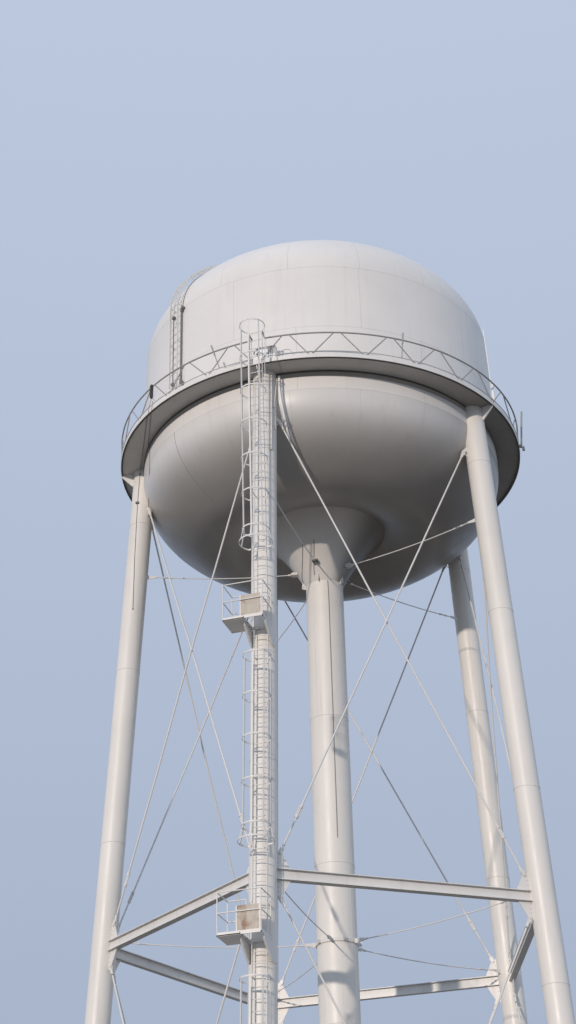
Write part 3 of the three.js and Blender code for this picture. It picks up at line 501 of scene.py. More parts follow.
def add_sky():
    """A plain gradient by the height of the view: dim below, pale at the horizon, bright above."""
    world = bpy.data.worlds.new("sky")
    world.use_nodes = True
    tree = world.node_tree
    direction = tree.nodes.new("ShaderNodeTexCoord")
    split = tree.nodes.new("ShaderNodeSeparateXYZ")
    height = tree.nodes.new("ShaderNodeMapRange")
    ramp = tree.nodes.new("ShaderNodeValToRGB")
    height.inputs["From Min"].default_value = -1
    tree.links.new(direction.outputs["Generated"], split.inputs[0])
    tree.links.new(split.outputs["Z"], height.inputs["Value"])
    tree.links.new(height.outputs["Result"], ramp.inputs["Fac"])
    tree.links.new(ramp.outputs["Color"], tree.nodes["Background"].inputs["Color"])
    stops = ramp.color_ramp.elements
    for name, colour in (("low", "horizon"), ("horizon", "horizon")):
        stops.new((SKY_LEVELS[name] + 1) / 2).color = (*SKY[colour], 1)
    stops[0].position, stops[0].color = (SKY_LEVELS["ground"] + 1) / 2, (*SKY["ground"], 1)
    stops[-1].position, stops[-1].color = (SKY_LEVELS["zenith"] + 1) / 2, (*SKY["zenith"], 1)
    bpy.context.scene.world = world


def add_surroundings():
    add_sky()
    add_sun("sun", **SUN)
    add_sun("fill", **FILL)
    bpy.context.scene.view_settings.view_transform = "Standard"
    mesh = bpy.data.meshes.new("floor")
    corners = [(x, y, -FLOOR["drop"]) for x, y in rectangle(FLOOR["size"], FLOOR["size"])]
    mesh.from_pydata(corners, [], [(0, 1, 2, 3)])
    mesh.materials.append(plain("floor", FLOOR["colour"], 0.9))
    floor = bpy.data.objects.new("floor", mesh)
    floor.visible_diffuse = False
    floor.visible_glossy = False
    bpy.context.scene.collection.objects.link(floor)


# Materials
class Nodes:
    """A short way to wire a material's nodes."""

    def __init__(self, name):
        self.material = bpy.data.materials.new(name)
        self.material.use_nodes = True
        self.tree = self.material.node_tree
        self.shader = self.tree.nodes["Principled BSDF"]
        coordinates = self.new("ShaderNodeTexCoord")
        self.place = coordinates.outputs["Object"]

    def new(self, kind, **values):
        node = self.tree.nodes.new(kind)
        for key, value in values.items():
            setattr(node, key, value)
        return node

    def link(self, output, target):
        self.tree.links.new(output, target)

    def noise(self, scale, detail=3.0, roughness=0.55, stretch=None):
        node = self.new("ShaderNodeTexNoise")
        node.inputs["Scale"].default_value = scale
        node.inputs["Detail"].default_value = detail
        node.inputs["Roughness"].default_value = roughness
        source = self.place
        if stretch:
            mapping = self.new("ShaderNodeMapping")
            mapping.inputs["Scale"].default_value = stretch
            self.link(self.place, mapping.inputs["Vector"])
            source = mapping.outputs["Vector"]
        self.link(source, node.inputs["Vector"])
        return node.outputs["Fac"]

    def ramp(self, value, low, high, bottom=0.0, top=1.0):
        node = self.new("ShaderNodeMapRange", interpolation_type="SMOOTHSTEP")
        for key, number in (("From Min", low), ("From Max", high), ("To Min", bottom), ("To Max", top)):
            node.inputs[key].default_value = number
        self.link(value, node.inputs["Value"])
        return node.outputs["Result"]

    def mix(self, factor, first, second):
        node = self.new("ShaderNodeMix", data_type="RGBA")
        for value, name, kind in ((factor, "Factor", "VALUE"), (first, "A", "RGBA"), (second, "B", "RGBA")):
            target = next(s for s in node.inputs if s.name == name and s.type == kind)
            if isinstance(value, (tuple, list)):
                target.default_value = (*value, 1)
            elif isinstance(value, float):
                target.default_value = value
            else:
                self.link(value, target)
        return next(s for s in node.outputs if s.type == "RGBA")

    def times(self, value, factor):
        node = self.new("ShaderNodeMath", operation="MULTIPLY")
        self.link(value, node.inputs[0])
        if isinstance(factor, float):
            node.inputs[1].default_value = factor
        else:
            self.link(factor, node.inputs[1])
        return node.outputs[0]

    def bump(self, height, strength, distance, below=None):
        node = self.new("ShaderNodeBump")
        node.inputs["Strength"].default_value = strength
        node.inputs["Distance"].default_value = distance
        self.link(height, node.inputs["Height"])
        if below:
            self.link(below, node.inputs["Normal"])
        return node.outputs["Normal"]

    def towards(self, azimuth):
        """How far a point lies towards an azimuth of the tower, from -1 to 1."""
        level = self.new("ShaderNodeVectorMath", operation="MULTIPLY")
        level.inputs[1].default_value = (1, 1, 0)
        self.link(self.place, level.inputs[0])
        unit = self.new("ShaderNodeVectorMath", operation="NORMALIZE")
        self.link(level.outputs["Vector"], unit.inputs[0])
        along = self.new("ShaderNodeVectorMath", operation="DOT_PRODUCT")
        along.inputs[1].default_value = (math.cos(azimuth), math.sin(azimuth), 0)
        self.link(unit.outputs["Vector"], along.inputs[0])
        return along.outputs["Value"]

    def axis(self, source, name):
        node = self.new("ShaderNodeSeparateXYZ")
        self.link(source, node.inputs[0])
        return node.outputs[name]


def shade(colour, factor):
    return tuple(channel * factor for channel in colour)


def plain(name, colour, roughness):
    """A faintly mottled matt surface, for the floor."""
    nodes = Nodes(name)
    mottled = nodes.mix(nodes.ramp(nodes.noise(0.3), 0.3, 0.7), colour, shade(colour, 1.04))
    nodes.link(mottled, nodes.shader.inputs["Base Color"])
    nodes.shader.inputs["Roughness"].default_value = roughness
    return nodes.material


# A dirt tone for streaks and blotches, also darkened for painted shade
GRIME_AND_SHADE = (0.20, 0.18, 0.155)
RUST = (0.23, 0.095, 0.04)
# The azimuth of the tower's side away from the sun, which gets painted shade
SHADED_SIDE = math.radians(40)


def painted(name, colour, roughness=0.42, streaks=0.25, grime=0.12, rust=0.0, under=0.0, waves=0.0,
            metallic=0.0, shade_away_from_sun=0.0):
    """Enamel on steel: tone that wanders, rain streaks, blotches of grime, specks of rust, painted shade on
    what faces down and on the side of the tower away from the sun, orange peel, and the long waves of welded
    plate."""
    nodes = Nodes(name)
    tone = nodes.mix(nodes.ramp(nodes.noise(0.55, 4.0), 0.3, 0.7), shade(colour, 0.955), shade(colour, 1.02))
    streak = nodes.ramp(nodes.noise(2.2, 7.0, 0.62, (3.2, 3.2, 0.16)), 0.52, 0.78, 0.0, streaks)
    tone = nodes.mix(streak, tone, GRIME_AND_SHADE)
    blotch = nodes.ramp(nodes.noise(1.7, 8.0, 0.66), 0.5, 0.8, 0.0, grime)
    tone = nodes.mix(blotch, tone, GRIME_AND_SHADE)
    # Painted shade: what faces down is darkened, in patches of varying strength
    if under:
        facing_down = nodes.axis(nodes.new("ShaderNodeNewGeometry").outputs["Normal"], "Z")
        patches = nodes.ramp(nodes.noise(0.8, 5.0), 0.25, 0.75, under * 0.88, under)
        underside_shade = nodes.times(nodes.ramp(facing_down, -0.2, -0.95), patches)
        tone = nodes.mix(underside_shade, tone, shade(GRIME_AND_SHADE, 0.62))
    # Painted shade: the side of the tower away from the sun is darkened
    if shade_away_from_sun:
        side_shade = nodes.ramp(nodes.towards(SHADED_SIDE), -0.15, 0.75, 0.0, shade_away_from_sun)
        tone = nodes.mix(side_shade, tone, shade(GRIME_AND_SHADE, 0.5))
    if rust:
        specks = nodes.ramp(nodes.noise(26.0, 5.0, 0.7), 0.66, 0.73)
        areas = nodes.ramp(nodes.noise(1.1, 4.0), 0.42, 0.72)
        tone = nodes.mix(nodes.times(nodes.times(specks, areas), rust), tone, RUST)
    nodes.link(tone, nodes.shader.inputs["Base Color"])
    gloss = nodes.ramp(nodes.noise(3.0, 5.0), 0.25, 0.75, roughness * 0.85, roughness * 1.2)
    nodes.link(gloss, nodes.shader.inputs["Roughness"])
    nodes.shader.inputs["Metallic"].default_value = metallic
    fine = nodes.bump(nodes.noise(90.0, 2.0), 0.05, 0.002)
    if waves:
        fine = nodes.bump(nodes.noise(0.85, 2.0, 0.4), waves, 0.05, fine)
    nodes.link(fine, nodes.shader.inputs["Normal"])
    return nodes.material


def stained(name, colour, share):
    """Paint that has let rust through in soft patches and runs."""
    nodes = Nodes(name)
    patches = nodes.noise(3.4, 8.0, 0.62)
    runs = nodes.noise(4.0, 8.0, 0.6, (5.0, 5.0, 0.7))
    rusty = nodes.mix(nodes.ramp(nodes.noise(14.0, 6.0), 0.35, 0.65), RUST, (0.33, 0.19, 0.11))
    tone = nodes.mix(nodes.ramp(runs, 0.42, 0.7, 0.0, share), colour, (0.42, 0.33, 0.25))
    tone = nodes.mix(nodes.ramp(patches, 0.5, 0.62, 0.0, share), tone, rusty)
    nodes.link(tone, nodes.shader.inputs["Base Color"])
    nodes.link(nodes.ramp(patches, 0.45, 0.65, 0.5, 0.85), nodes.shader.inputs["Roughness"])
    nodes.link(nodes.bump(patches, 0.12, 0.004), nodes.shader.inputs["Normal"])
    return nodes.material


WHITE = (0.77, 0.755, 0.72)
CREAM = (0.77, 0.745, 0.69)
# After the colour, the fifth number darkens what faces down and the eighth the side away from the sun: both
# are painted shade
PAINT = {
    "tank": painted("tank_paint", WHITE, 0.36, 0.10, 0.05, 0.5, 0.0, 0.10),
    "bowl": painted("bowl_paint", shade(WHITE, 0.93), 0.34, 0.12, 0.10, 0.3, 0.76, 0.12, 0.0, 0.4),
    "bowl_seam": painted("bowl_seam_paint", shade(WHITE, 0.86), 0.4, 0.2, 0.15, 0.4, 0.76, 0.0, 0.0, 0.4),
    "line": painted("open_seam", shade(WHITE, 0.42), 0.5, 0.2, 0.3, 0.6, 0.3),
    "seam": painted("seam_paint", shade(WHITE, 0.86), 0.5, 0.25, 0.2, 0.6),
    # Caulk, darkened further as painted shade under the curb's lip and in the deck's joint
    "caulk": painted("caulk_and_painted_shade", (0.10, 0.095, 0.085), 0.7, 0.2, 0.3, 0.4),
    # The deck's shadow on the shell, painted as a dark band
    "soot": painted("painted_shadow_under_deck", (0.36, 0.33, 0.29), 0.6, 0.2, 0.3, 0.4),
    "bell": painted("bell_paint", CREAM, 0.42, 0.10, 0.08, 0.2, 0.4, 0.0, 0.0, 0.85),
    "riser": painted("riser_paint", CREAM, 0.42, 0.22, 0.10, 0.3, 0.0, 0.05),
    "leg": painted("leg_paint", CREAM, 0.40, 0.20, 0.08, 0.35, 0.0, 0.05),
    "steel": painted("steel_paint", shade(WHITE, 0.98), 0.45, 0.2, 0.15, 0.4, 0.35),
    "rod": painted("rod_paint", shade(WHITE, 0.94), 0.42, 0.15, 0.18, 0.5),
    "curb": painted("curb_paint", WHITE, 0.42, 0.15, 0.12, 0.8),
    "deck": painted("deck_paint", shade(WHITE, 0.95), 0.6, 0.1, 0.2, 0.6, 0.26, 0.0, 0.0, 0.7),
    "rail": painted("rail_paint", shade(WHITE, 0.42), 0.5, 0.2, 0.3, 0.5),
    "low_rail": painted("low_rail_paint", shade(WHITE, 0.72), 0.5, 0.15, 0.2, 0.4),
    "ladder": painted("ladder_paint", shade(WHITE, 0.98), 0.45, 0.15, 0.12, 0.4),
    "guard": stained("guard_paint", (0.50, 0.46, 0.39), 0.75),
    "bright": painted("bright_enamel", (0.90, 0.895, 0.88), 0.34, 0.06, 0.05, 0.1),
    "panel": painted("grey_cover", (0.42, 0.41, 0.39), 0.5, 0.1, 0.2),
    "cover": painted("dark_fitting", (0.17, 0.165, 0.155), 0.5, 0.1, 0.2),
    "post": painted("grey_post", (0.36, 0.36, 0.34), 0.5, 0.15, 0.15),
    "cable": painted("grey_cable", (0.26, 0.25, 0.23), 0.6, 0.1, 0.2),
    "dark": painted("dark_cable", (0.045, 0.045, 0.048), 0.5, 0.1, 0.2),
    "zinc": painted("galvanised", (0.42, 0.43, 0.44), 0.38, 0.1, 0.25, 0.1, 0.0, 0.0, 0.6),
}


# Tank
def ellipse(radius, rise, inner, steps):
    """An ellipse from its widest point in to a radius, as (radius, height) from its centre."""
    end = math.acos(inner / radius)
    curve = [(radius * math.cos(end * i / steps), rise * math.sin(end * i / steps)) for i in range(steps)]
    return curve + [(inner, rise * math.sin(end))]


def bowl_profile(offset):
    """The bowl's outline: an ellipse in to its knuckle, an arc over the lowest ring and up to the crease."""
    width, depth = TANK_RADIUS + offset, BOWL_DEPTH + offset
    slope, radius, steps = KNUCKLE["slope"], KNUCKLE["radius"] + offset, KNUCKLE["steps"]
    inner = width * math.cos(math.atan2(depth, width * math.tan(slope)))
    curve = ellipse(width, depth, inner, BOWL_STEPS)
    reach, drop = curve[-1]
    centre, level = reach - radius * math.sin(slope), drop - radius * math.cos(slope)
    end = -math.asin((centre - CREASE_RADIUS) / radius)
    for i in range(1, steps + 1):
        angle = slope + (end - slope) * i / steps
        curve.append((centre + radius * math.sin(angle), level + radius * math.cos(angle)))
    return [(out, SHELL_BOTTOM - down) for out, down in curve]


def bell_profile(steps=24):
    """The bell opens like a trumpet from the riser to the bowl's crease."""
    low, high = BELL_LOW.z, bowl_profile(0)[-1][1]
    width = CREASE_RADIUS - RISER_RADIUS
    bend = (high - low) / width - BELL_STEEPNESS
    shares = [i / steps for i in range(steps + 1)]
    return [(RISER_RADIUS + width * s, low + width * s * (BELL_STEEPNESS + bend * s)) for s in shares]


def roof_profile(offset, steps=44):
    rise = ROOF_TOP - SHELL_TOP
    return [(r, SHELL_TOP + z) for r, z in ellipse(TANK_RADIUS + offset, rise + offset, 0, steps)]


def along_meridian(profile, azimuth):
    return [polar(r, azimuth, z) for r, z in profile]


def meridian_normals(path, centre_height, rise):
    """Outward normals of an ellipsoid of the tank's radius, at points of it."""
    scale = np.array([1 / TANK_RADIUS ** 2, 1 / TANK_RADIUS ** 2, 1 / rise ** 2])
    normals = (np.asarray(path) - (0, 0, centre_height)) * scale
    return normals / np.linalg.norm(normals, axis=1)[:, None]


def seam(shape, path, outward, closed=False, kind=1, size=TANK_SEAM):
    """A weld's bead along a path on a plate, (width, height) in size."""
    shape.add(sweep(path, bead(*size), outward, closed), kind=kind)


def ring_seam(shape, radius, level):
    path = hoop_path(radius, level, TANK_SIDES)
    seam(shape, path, [(x, y, 0) for x, y, _ in path], True)


def ring_weld(shape, path):
    """The round weld between two cans of a pipe."""
    shape.add(sweep(path, circle(CAN_WELD, 8), UP, True), kind=1)


def tank_roof():
    shape = Shape()
    shape.add(lathe(roof_profile(-PLATE)[::-1] + roof_profile(0), TANK_SIDES))
    rise = ROOF_TOP - SHELL_TOP
    crown = [point for point in roof_profile(0) if point[0] >= ROOF_PETALS["crown"]]
    for i in range(ROOF_PETALS["count"]):
        path = along_meridian(crown, TAU * (i + ROOF_PETALS["shift"]) / ROOF_PETALS["count"])
        seam(shape, path, meridian_normals(path, SHELL_TOP, rise))
    path = hoop_path(*crown[-1], TANK_SIDES // 2)
    seam(shape, path, meridian_normals(path, SHELL_TOP, rise), True)
    ring_seam(shape, TANK_RADIUS, SHELL_TOP)
    make("roof_skin", shape, "tank seam", "tank", "tank_roof")


def tank_shell():
    shape = Shape()
    shape.add(lathe(band(TANK_RADIUS - PLATE, TANK_RADIUS, SHELL_BOTTOM, SHELL_TOP), TANK_SIDES))
    middle = (SHELL_BOTTOM + SHELL_TOP) / 2
    ring_seam(shape, TANK_RADIUS, middle)
    for course, (low, high) in enumerate(((SHELL_BOTTOM, middle), (middle, SHELL_TOP))):
        for i in range(SHELL_PLATES):
            azimuth = TAU * (i + course / 2) / SHELL_PLATES
            seam(shape, [polar(TANK_RADIUS, azimuth, z) for z in (low, high)], polar(1, azimuth))
    make("shell_skin", shape, "tank seam", "tank", "tank_shell")


def tank_bowl():
    """The bowl with its ring seam and petals. The first petal's seam is a dark line."""
    shape = Shape()
    shape.add(lathe(bowl_profile(0) + bowl_profile(-PLATE)[::-1], TANK_SIDES))
    ring_seam(shape, TANK_RADIUS, SHELL_BOTTOM - BOWL_PETALS["rim"])
    curve = bowl_profile(0)[:BOWL_STEPS + 1]
    for i in range(BOWL_PETALS["count"]):
        path = along_meridian(curve, BOWL_PETALS["first"] + TAU * i / BOWL_PETALS["count"])
        seam(shape, path, meridian_normals(path, SHELL_BOTTOM, BOWL_DEPTH), kind=1 if i else 2)
    make("bowl_skin", shape, "bowl bowl_seam line", "bowl", "tank_bowl")


def bell():
    shape = Shape()
    outer = bell_profile() + [(CREASE_RADIUS, BELL_HIGH.z)]
    inner = [(radius - PLATE, z) for radius, z in outer]
    shape.add(lathe(outer + inner[::-1], RISER_SIDES * 2))
    ring_weld(shape, hoop_path(RISER_RADIUS, BELL_LOW.z + CAN_WELD / 2, RISER_SIDES))
    make("bell_skin", shape, "bell seam", "bowl", "riser_bell")


def riser():
    shape = Shape()
    foot, thickness = RISER_FOOT["radius"], RISER_FOOT["thickness"]
    inner, floor = RISER_RADIUS - RISER_WALL, thickness + RISER_WALL
    shape.add(lathe([(0, 0), (foot, 0), (foot, thickness), (RISER_RADIUS, thickness),
                     (RISER_RADIUS, RISER_TOP), (inner, RISER_TOP), (inner, floor), (0, floor)],
                    RISER_SIDES, False))
    levels = [RISER_TOP * i / RISER_CANS["count"] for i in range(RISER_CANS["count"] + 1)]
    for level in levels[1:-1]:
        ring_weld(shape, hoop_path(RISER_RADIUS, level, RISER_SIDES))
    for i, (low, high) in enumerate(zip(levels, levels[1:])):
        azimuth = RISER_CANS["first"] + RISER_CANS["turn"] * i
        path = [polar(RISER_RADIUS, azimuth, z) for z in (max(thickness, low), high)]
        seam(shape, path, polar(1, azimuth), size=RISER_CANS["seam"])
    root, edge = RISER_RADIUS - SUNK, foot - RISER_RIBS["inset"]
    low, toe, top = thickness - LAP, RISER_RIBS["toe"], thickness + RISER_RIBS["height"]
    rib = [(root, low), (edge, low), (edge, thickness + toe), (RISER_RADIUS + toe, top), (root, top)]
    for i in range(RISER_RIBS["count"]):
        shape.add(upright(rib, RISER_RIBS["thickness"]), turn(TAU * i / RISER_RIBS["count"]))
        spot = turn(TAU * (i + 0.5) / RISER_RIBS["count"]) @ move(foot - RISER_RIBS["bolts"], 0, thickness)
        add_bolt(shape, spot, BOLTS["riser"], 2)
    make("riser_skin", shape, "riser seam zinc", "riser", "riser_pipe")


def roof_vent():
    """A flanged neck with a dark screen behind upright bars, under a rounded hood."""
    hood, _, top = real_box("roof_vent")[1]
    shape = Shape()
    neck, sides, level = VENT["neck"], VENT["sides"], ROOF_TOP - VENT["sunk"]
    flange, face, stub = neck + VENT["flange"], level + VENT["thickness"], top - VENT["stub"]
    shape.add(lathe([(0, level), (flange, level), (flange, face), (neck, face + 4), (neck, stub), (0, stub)],
                    sides, False))
    low, high = (top - drop for drop in VENT["screen"])
    shape.add(lathe(band(neck - VENT["inset"] - 6, neck - VENT["inset"], low, high), sides), kind=1)
    shape.add(lathe([(hood * share - trim, top - drop) for share, trim, drop in VENT_HOOD], sides, False))
    low, high = (top - drop for drop in VENT["bars"])
    for i in range(VENT["count"]):
        bar = flat_bar((neck - 8, 0, low), (neck - 8, 0, high), *VENT["bar"], OUT)
        shape.add(bar, turn(TAU * i / VENT["count"]))
        spot = turn(TAU * (i + 0.5) / VENT["count"]) @ move(neck + VENT["flange"] - 40, 0, face + 2)
        add_bolt(shape, spot, BOLTS["small"], 2)
    make("vent_hood", shape, "tank dark zinc", "fitting", "roof_vent")


def roof_hatch():
    """A round hatch, shut, with its hinge and handle."""
    low, high = real_box("roof_hatch")
    centre, radius, top = (low + high) / 2, (high.x - low.x) / 2, high.z
    shape = Shape()
    place = move(centre.x, centre.y) @ turn(LADDER_LEG + ROOF_LADDER["azimuth"])
    neck, under, sides = radius - HATCH["overhang"], top - HATCH["lid"], HATCH["sides"]
    shape.add(lathe([(0, low.z), (neck, low.z), (neck, under), (0, under)], sides, False), place)
    lid = [(0, under + 1), (radius, under + 1), (radius, top - 12), (radius - 14, top - 3), (0, top)]
    shape.add(lathe(lid, sides, False), place)
    half = HATCH["hinge"]
    shape.add(cuboid((-neck, -half, top - 40), (-neck + 80, half, top - 4)), place)
    x, half = radius - HATCH["handle_inset"], HATCH["handle"]
    handle = [(x, -half, top - 4), (x, -half, top - 1), (x, half, top - 1), (x, half, top - 4)]
    shape.add(sweep(handle, circle(8, 8), OUT), place)
    make("hatch_lid", shape, "tank", "fitting", "roof_hatch")


# Panels between legs
PANEL_SLOPE = LEG_BATTER * math.cos(HALF_STEP)
PANEL_STRETCH = math.sqrt(1 + PANEL_SLOPE ** 2)


def panel_matrix():
    level = Vector((0, 1, 0))
    rise = Vector((-PANEL_SLOPE, 0, 1)).normalized()
    axes = Matrix((level, rise, level.cross(rise))).transposed().to_4x4()
    return np.array(Matrix.Translation((leg_circle(0) * math.cos(HALF_STEP), 0, 0)) @ axes)


def panel_point(side, z, offset):
    return np.array((side * (leg_circle(z) * math.sin(HALF_STEP) - offset), z * PANEL_STRETCH, 0.0))


def lug_outline(pin, target, roots):
    """The hull of a round eye at the pin and the lug's root points."""
    heading = math.atan2(target[1] - pin[1], target[0] - pin[0])
    eye = [pin[:2] + polar(PIN_EYE, heading + a)[:2] for a in np.linspace(-QUARTER, QUARTER, 9)]
    points = eye + [root[:2] for root in roots]
    cx, cy = np.mean(points, axis=0)
    return sorted(points, key=lambda p: math.atan2(p[1] - cy, p[0] - cx))


def leg(index):
    shape = Shape()
    around = circle(LEG_RADIUS, LEG_SIDES)
    centre, half, thickness, reach = leg_circle(0), FOOT["half"], FOOT["thickness"], FOOT["reach"]
    shape.add(skin([[(leg_circle(z) + x, y, z) for x, y in around] for z in (thickness / 2, LEG_TOP)]))
    for z in LEG_CANS:
        ring_weld(shape, [(leg_circle(z) + x, y, z) for x, y in around])
    to_panel = panel_matrix()
    for side in (-1, 1):
        for start, end in (UPPER_RODS, LOWER_RODS[::-1]):
            pin = panel_point(side, start, PIN_OFFSET)
            roots = [panel_point(side, start + rise, GUSSET["root"]) for rise in GUSSET["rises"]]
            outline = lug_outline(pin, panel_point(-side, end, PIN_OFFSET), roots)
            shape.add(prism(outline, GUSSET["thickness"]), turn(-side * HALF_STEP) @ to_panel)
    shape.add(cuboid((centre - half, -half, 0), (centre + half, half, thickness)))
    low, top = thickness - LAP, FOOT["top"]
    rib = [(-reach, low), (reach, low), (LEG_RADIUS, top), (-LEG_RADIUS, top)]
    for angle in (0, QUARTER):
        shape.add(upright(rib, FOOT["rib"]), move(centre) @ turn(angle))
    for x, y in rectangle(FOOT["bolts"], FOOT["bolts"]):
        add_bolt(shape, move(centre + x, y, thickness), BOLTS["foot"], 2)
    node = f"leg_{index + 1}"
    make(f"{node}_skin", shape, "leg seam zinc", "leg", node, azimuth=leg_azimuth(index))


def bracket(index):
    """The plate with a flange along its slope that carries the balcony's edge on a leg's head."""
    shape = Shape()
    nose, low = BALCONY_RADIUS - CURB["thickness"] - 1, LEG_TOP - BRACKET["drop"]
    foot, root = (leg_circle(z) + LEG_RADIUS for z in (low, LEG_TOP))
    start, end = (foot + BRACKET["foot"], low), (nose, LEG_TOP - BRACKET["nose"])
    outline = [(foot - SUNK, low), start, end, (nose, LEG_TOP), (root - SUNK, LEG_TOP)]
    shape.add(upright(outline, GUSSET["thickness"]))
    path = np.array([(x, 0, z) for x, z in (start, end)])
    outward = np.cross(path[1] - path[0], (0, -1, 0))
    shape.add(flat_bar(*path, BRACKET["flange"], BRACKET["thickness"], outward))
    name, node = f"bracket_plate_{index + 1}", f"balcony_bracket_{index + 1}"
    make(name, shape, "curb", "leg", node, azimuth=leg_azimuth(index))


def fork(shape, pin, target, matrix):
    """A forged fork over its lug, with the pin through both, in the panel's plane."""
    direction = (target - pin) / np.linalg.norm(target - pin)
    across = np.array((-direction[1], direction[0], 0.0))
    local = np.eye(4)
    local[:3] = np.column_stack((direction, across, np.cross(direction, across), pin))
    place = matrix @ local
    eye, cheek, slot, neck = FORK["eye"], FORK["cheek"], FORK["slot"], FORK["slot"] + FORK["neck"]
    block = FORK["gap"] + cheek
    outline = [polar(eye, a)[:2] for a in np.linspace(QUARTER, 3 * QUARTER, 9)] + [(neck, -eye), (neck, eye)]
    for side in (-1, 1):
        shape.add(prism(outline, cheek), place @ move(0, 0, side * (block - cheek / 2)))
        shape.add(rod((0, 0, side * (block + 1)), (0, 0, side * (block + 9)), FORK["washer"], 16), place)
    body, end = ROD_RADIUS * 1.6, ROD_RADIUS * 1.45
    stations = ((slot, eye, block), (neck, eye, block), (FORK["body"], body, ROD_RADIUS * 1.5),
                (FORK["end"], end, end))
    rings = [[(x, width * y, height * z) for y, z in circle(1, 16)] for x, width, height in stations]
    shape.add(skin(rings), place)
    pin_half = block + FORK["pin_end"]
    shape.add(rod((0, 0, -pin_half), (0, 0, pin_half), FORK["pin"], 16), place)


def turnbuckle(shape, start, direction, matrix):
    """Two threaded barrels joined by side bars, on a rod in the panel's plane."""
    across = np.array((-direction[1], direction[0], 0.0))
    length, barrel = TURNBUCKLE["length"], TURNBUCKLE["barrel"]
    for low, high in ((0, barrel), (length - barrel, length)):
        shape.add(rod(start + direction * low, start + direction * high, TURNBUCKLE["radius"]), matrix)
    low, high = (start + direction * share for share in (barrel * 0.4, length - barrel * 0.4))
    for side in (-1, 1):
        shift = across * side * TURNBUCKLE["spread"]
        shape.add(rod(low + shift, high + shift, TURNBUCKLE["side"], 8), matrix)


def crossed_rods(index, kind, levels):
    """Two rods that cross between neighbouring legs and bow a little past each other."""
    shape = Shape()
    matrix = turn(leg_azimuth(index) + HALF_STEP) @ panel_matrix()
    for side in (-1, 1):
        top = panel_point(side, levels[0], PIN_OFFSET)
        bottom = panel_point(-side, levels[1], PIN_OFFSET)
        length = np.linalg.norm(top - bottom)
        direction = (top - bottom) / length
        path = []
        for share in ROD_BOW["shares"]:
            bow = ROD_BOW["reach"] * side * math.exp(-((share - 0.5) / ROD_BOW["width"]) ** 2)
            path.append(bottom + direction * length * share + np.array((0, 0, bow)))
        shape.add(sweep(path, circle(ROD_RADIUS, 14)), matrix)
        fork(shape, top, bottom, matrix)
        fork(shape, bottom, top, matrix)
        turnbuckle(shape, bottom + direction * TURNBUCKLE["from_pin"], direction, matrix)
    make(f"{kind}_bracing_{index + 1}", shape, "rod", "bracing", f"{kind}_rods_{index + 1}")


def strut_bolts(index):
    """Bolts through the gussets, over the CAD strut."""
    shape = Shape()
    matrix = turn(leg_azimuth(index) + HALF_STEP) @ panel_matrix()
    back = np.array(Matrix.Rotation(math.pi, 4, "X"))
    for side in (-1, 1):
        for rise in [sign * drop for sign in (-1, 1) for drop in STRUT_BOLTS["rises"]]:
            place = matrix @ move(*panel_point(side, STRUT_LEVEL + rise, STRUT_BOLTS["offset"]))
            for spin in (np.eye(4), back):
                add_bolt(shape, place @ spin @ move(0, 0, GUSSET["thickness"] / 2), BOLTS["small"])
    make(f"strut_bolts_{index + 1}", shape, "steel", "bracing")


def stay_collar(shape, level):
    """The lower stays' clamped collar: two half bands with bolted ears between the legs."""
    inner, outer, edge = RISER_RADIUS + 1, RISER_RADIUS + 1 + COLLAR["thickness"], COLLAR["edge"]
    low, high = level - COLLAR["height"] / 2, level + COLLAR["height"] / 2
    shape.add(lathe([(inner, low), (outer - edge, low), (outer, low + edge), (outer, high - edge),
                     (outer - edge, high), (inner, high)], RISER_SIDES))
    near, far = COLLAR["ear"]
    for i in range(LEG_COUNT):
        spin = turn(leg_azimuth(i) + HALF_STEP)
        for face in (-1, 1):
            left, right = sorted((face * near, face * far))
            ear = cuboid((outer - edge, left, low + 8), (outer + COLLAR["reach"], right, high - 8))
            shape.add(ear, spin)
            for rise in (-1, 1):
                spot = (outer + COLLAR["bolts"], face * far, level + rise * COLLAR["height"] / 4)
                add_bolt(shape, spin @ facing(spot, (0, face, 0)), BOLTS["collar"])


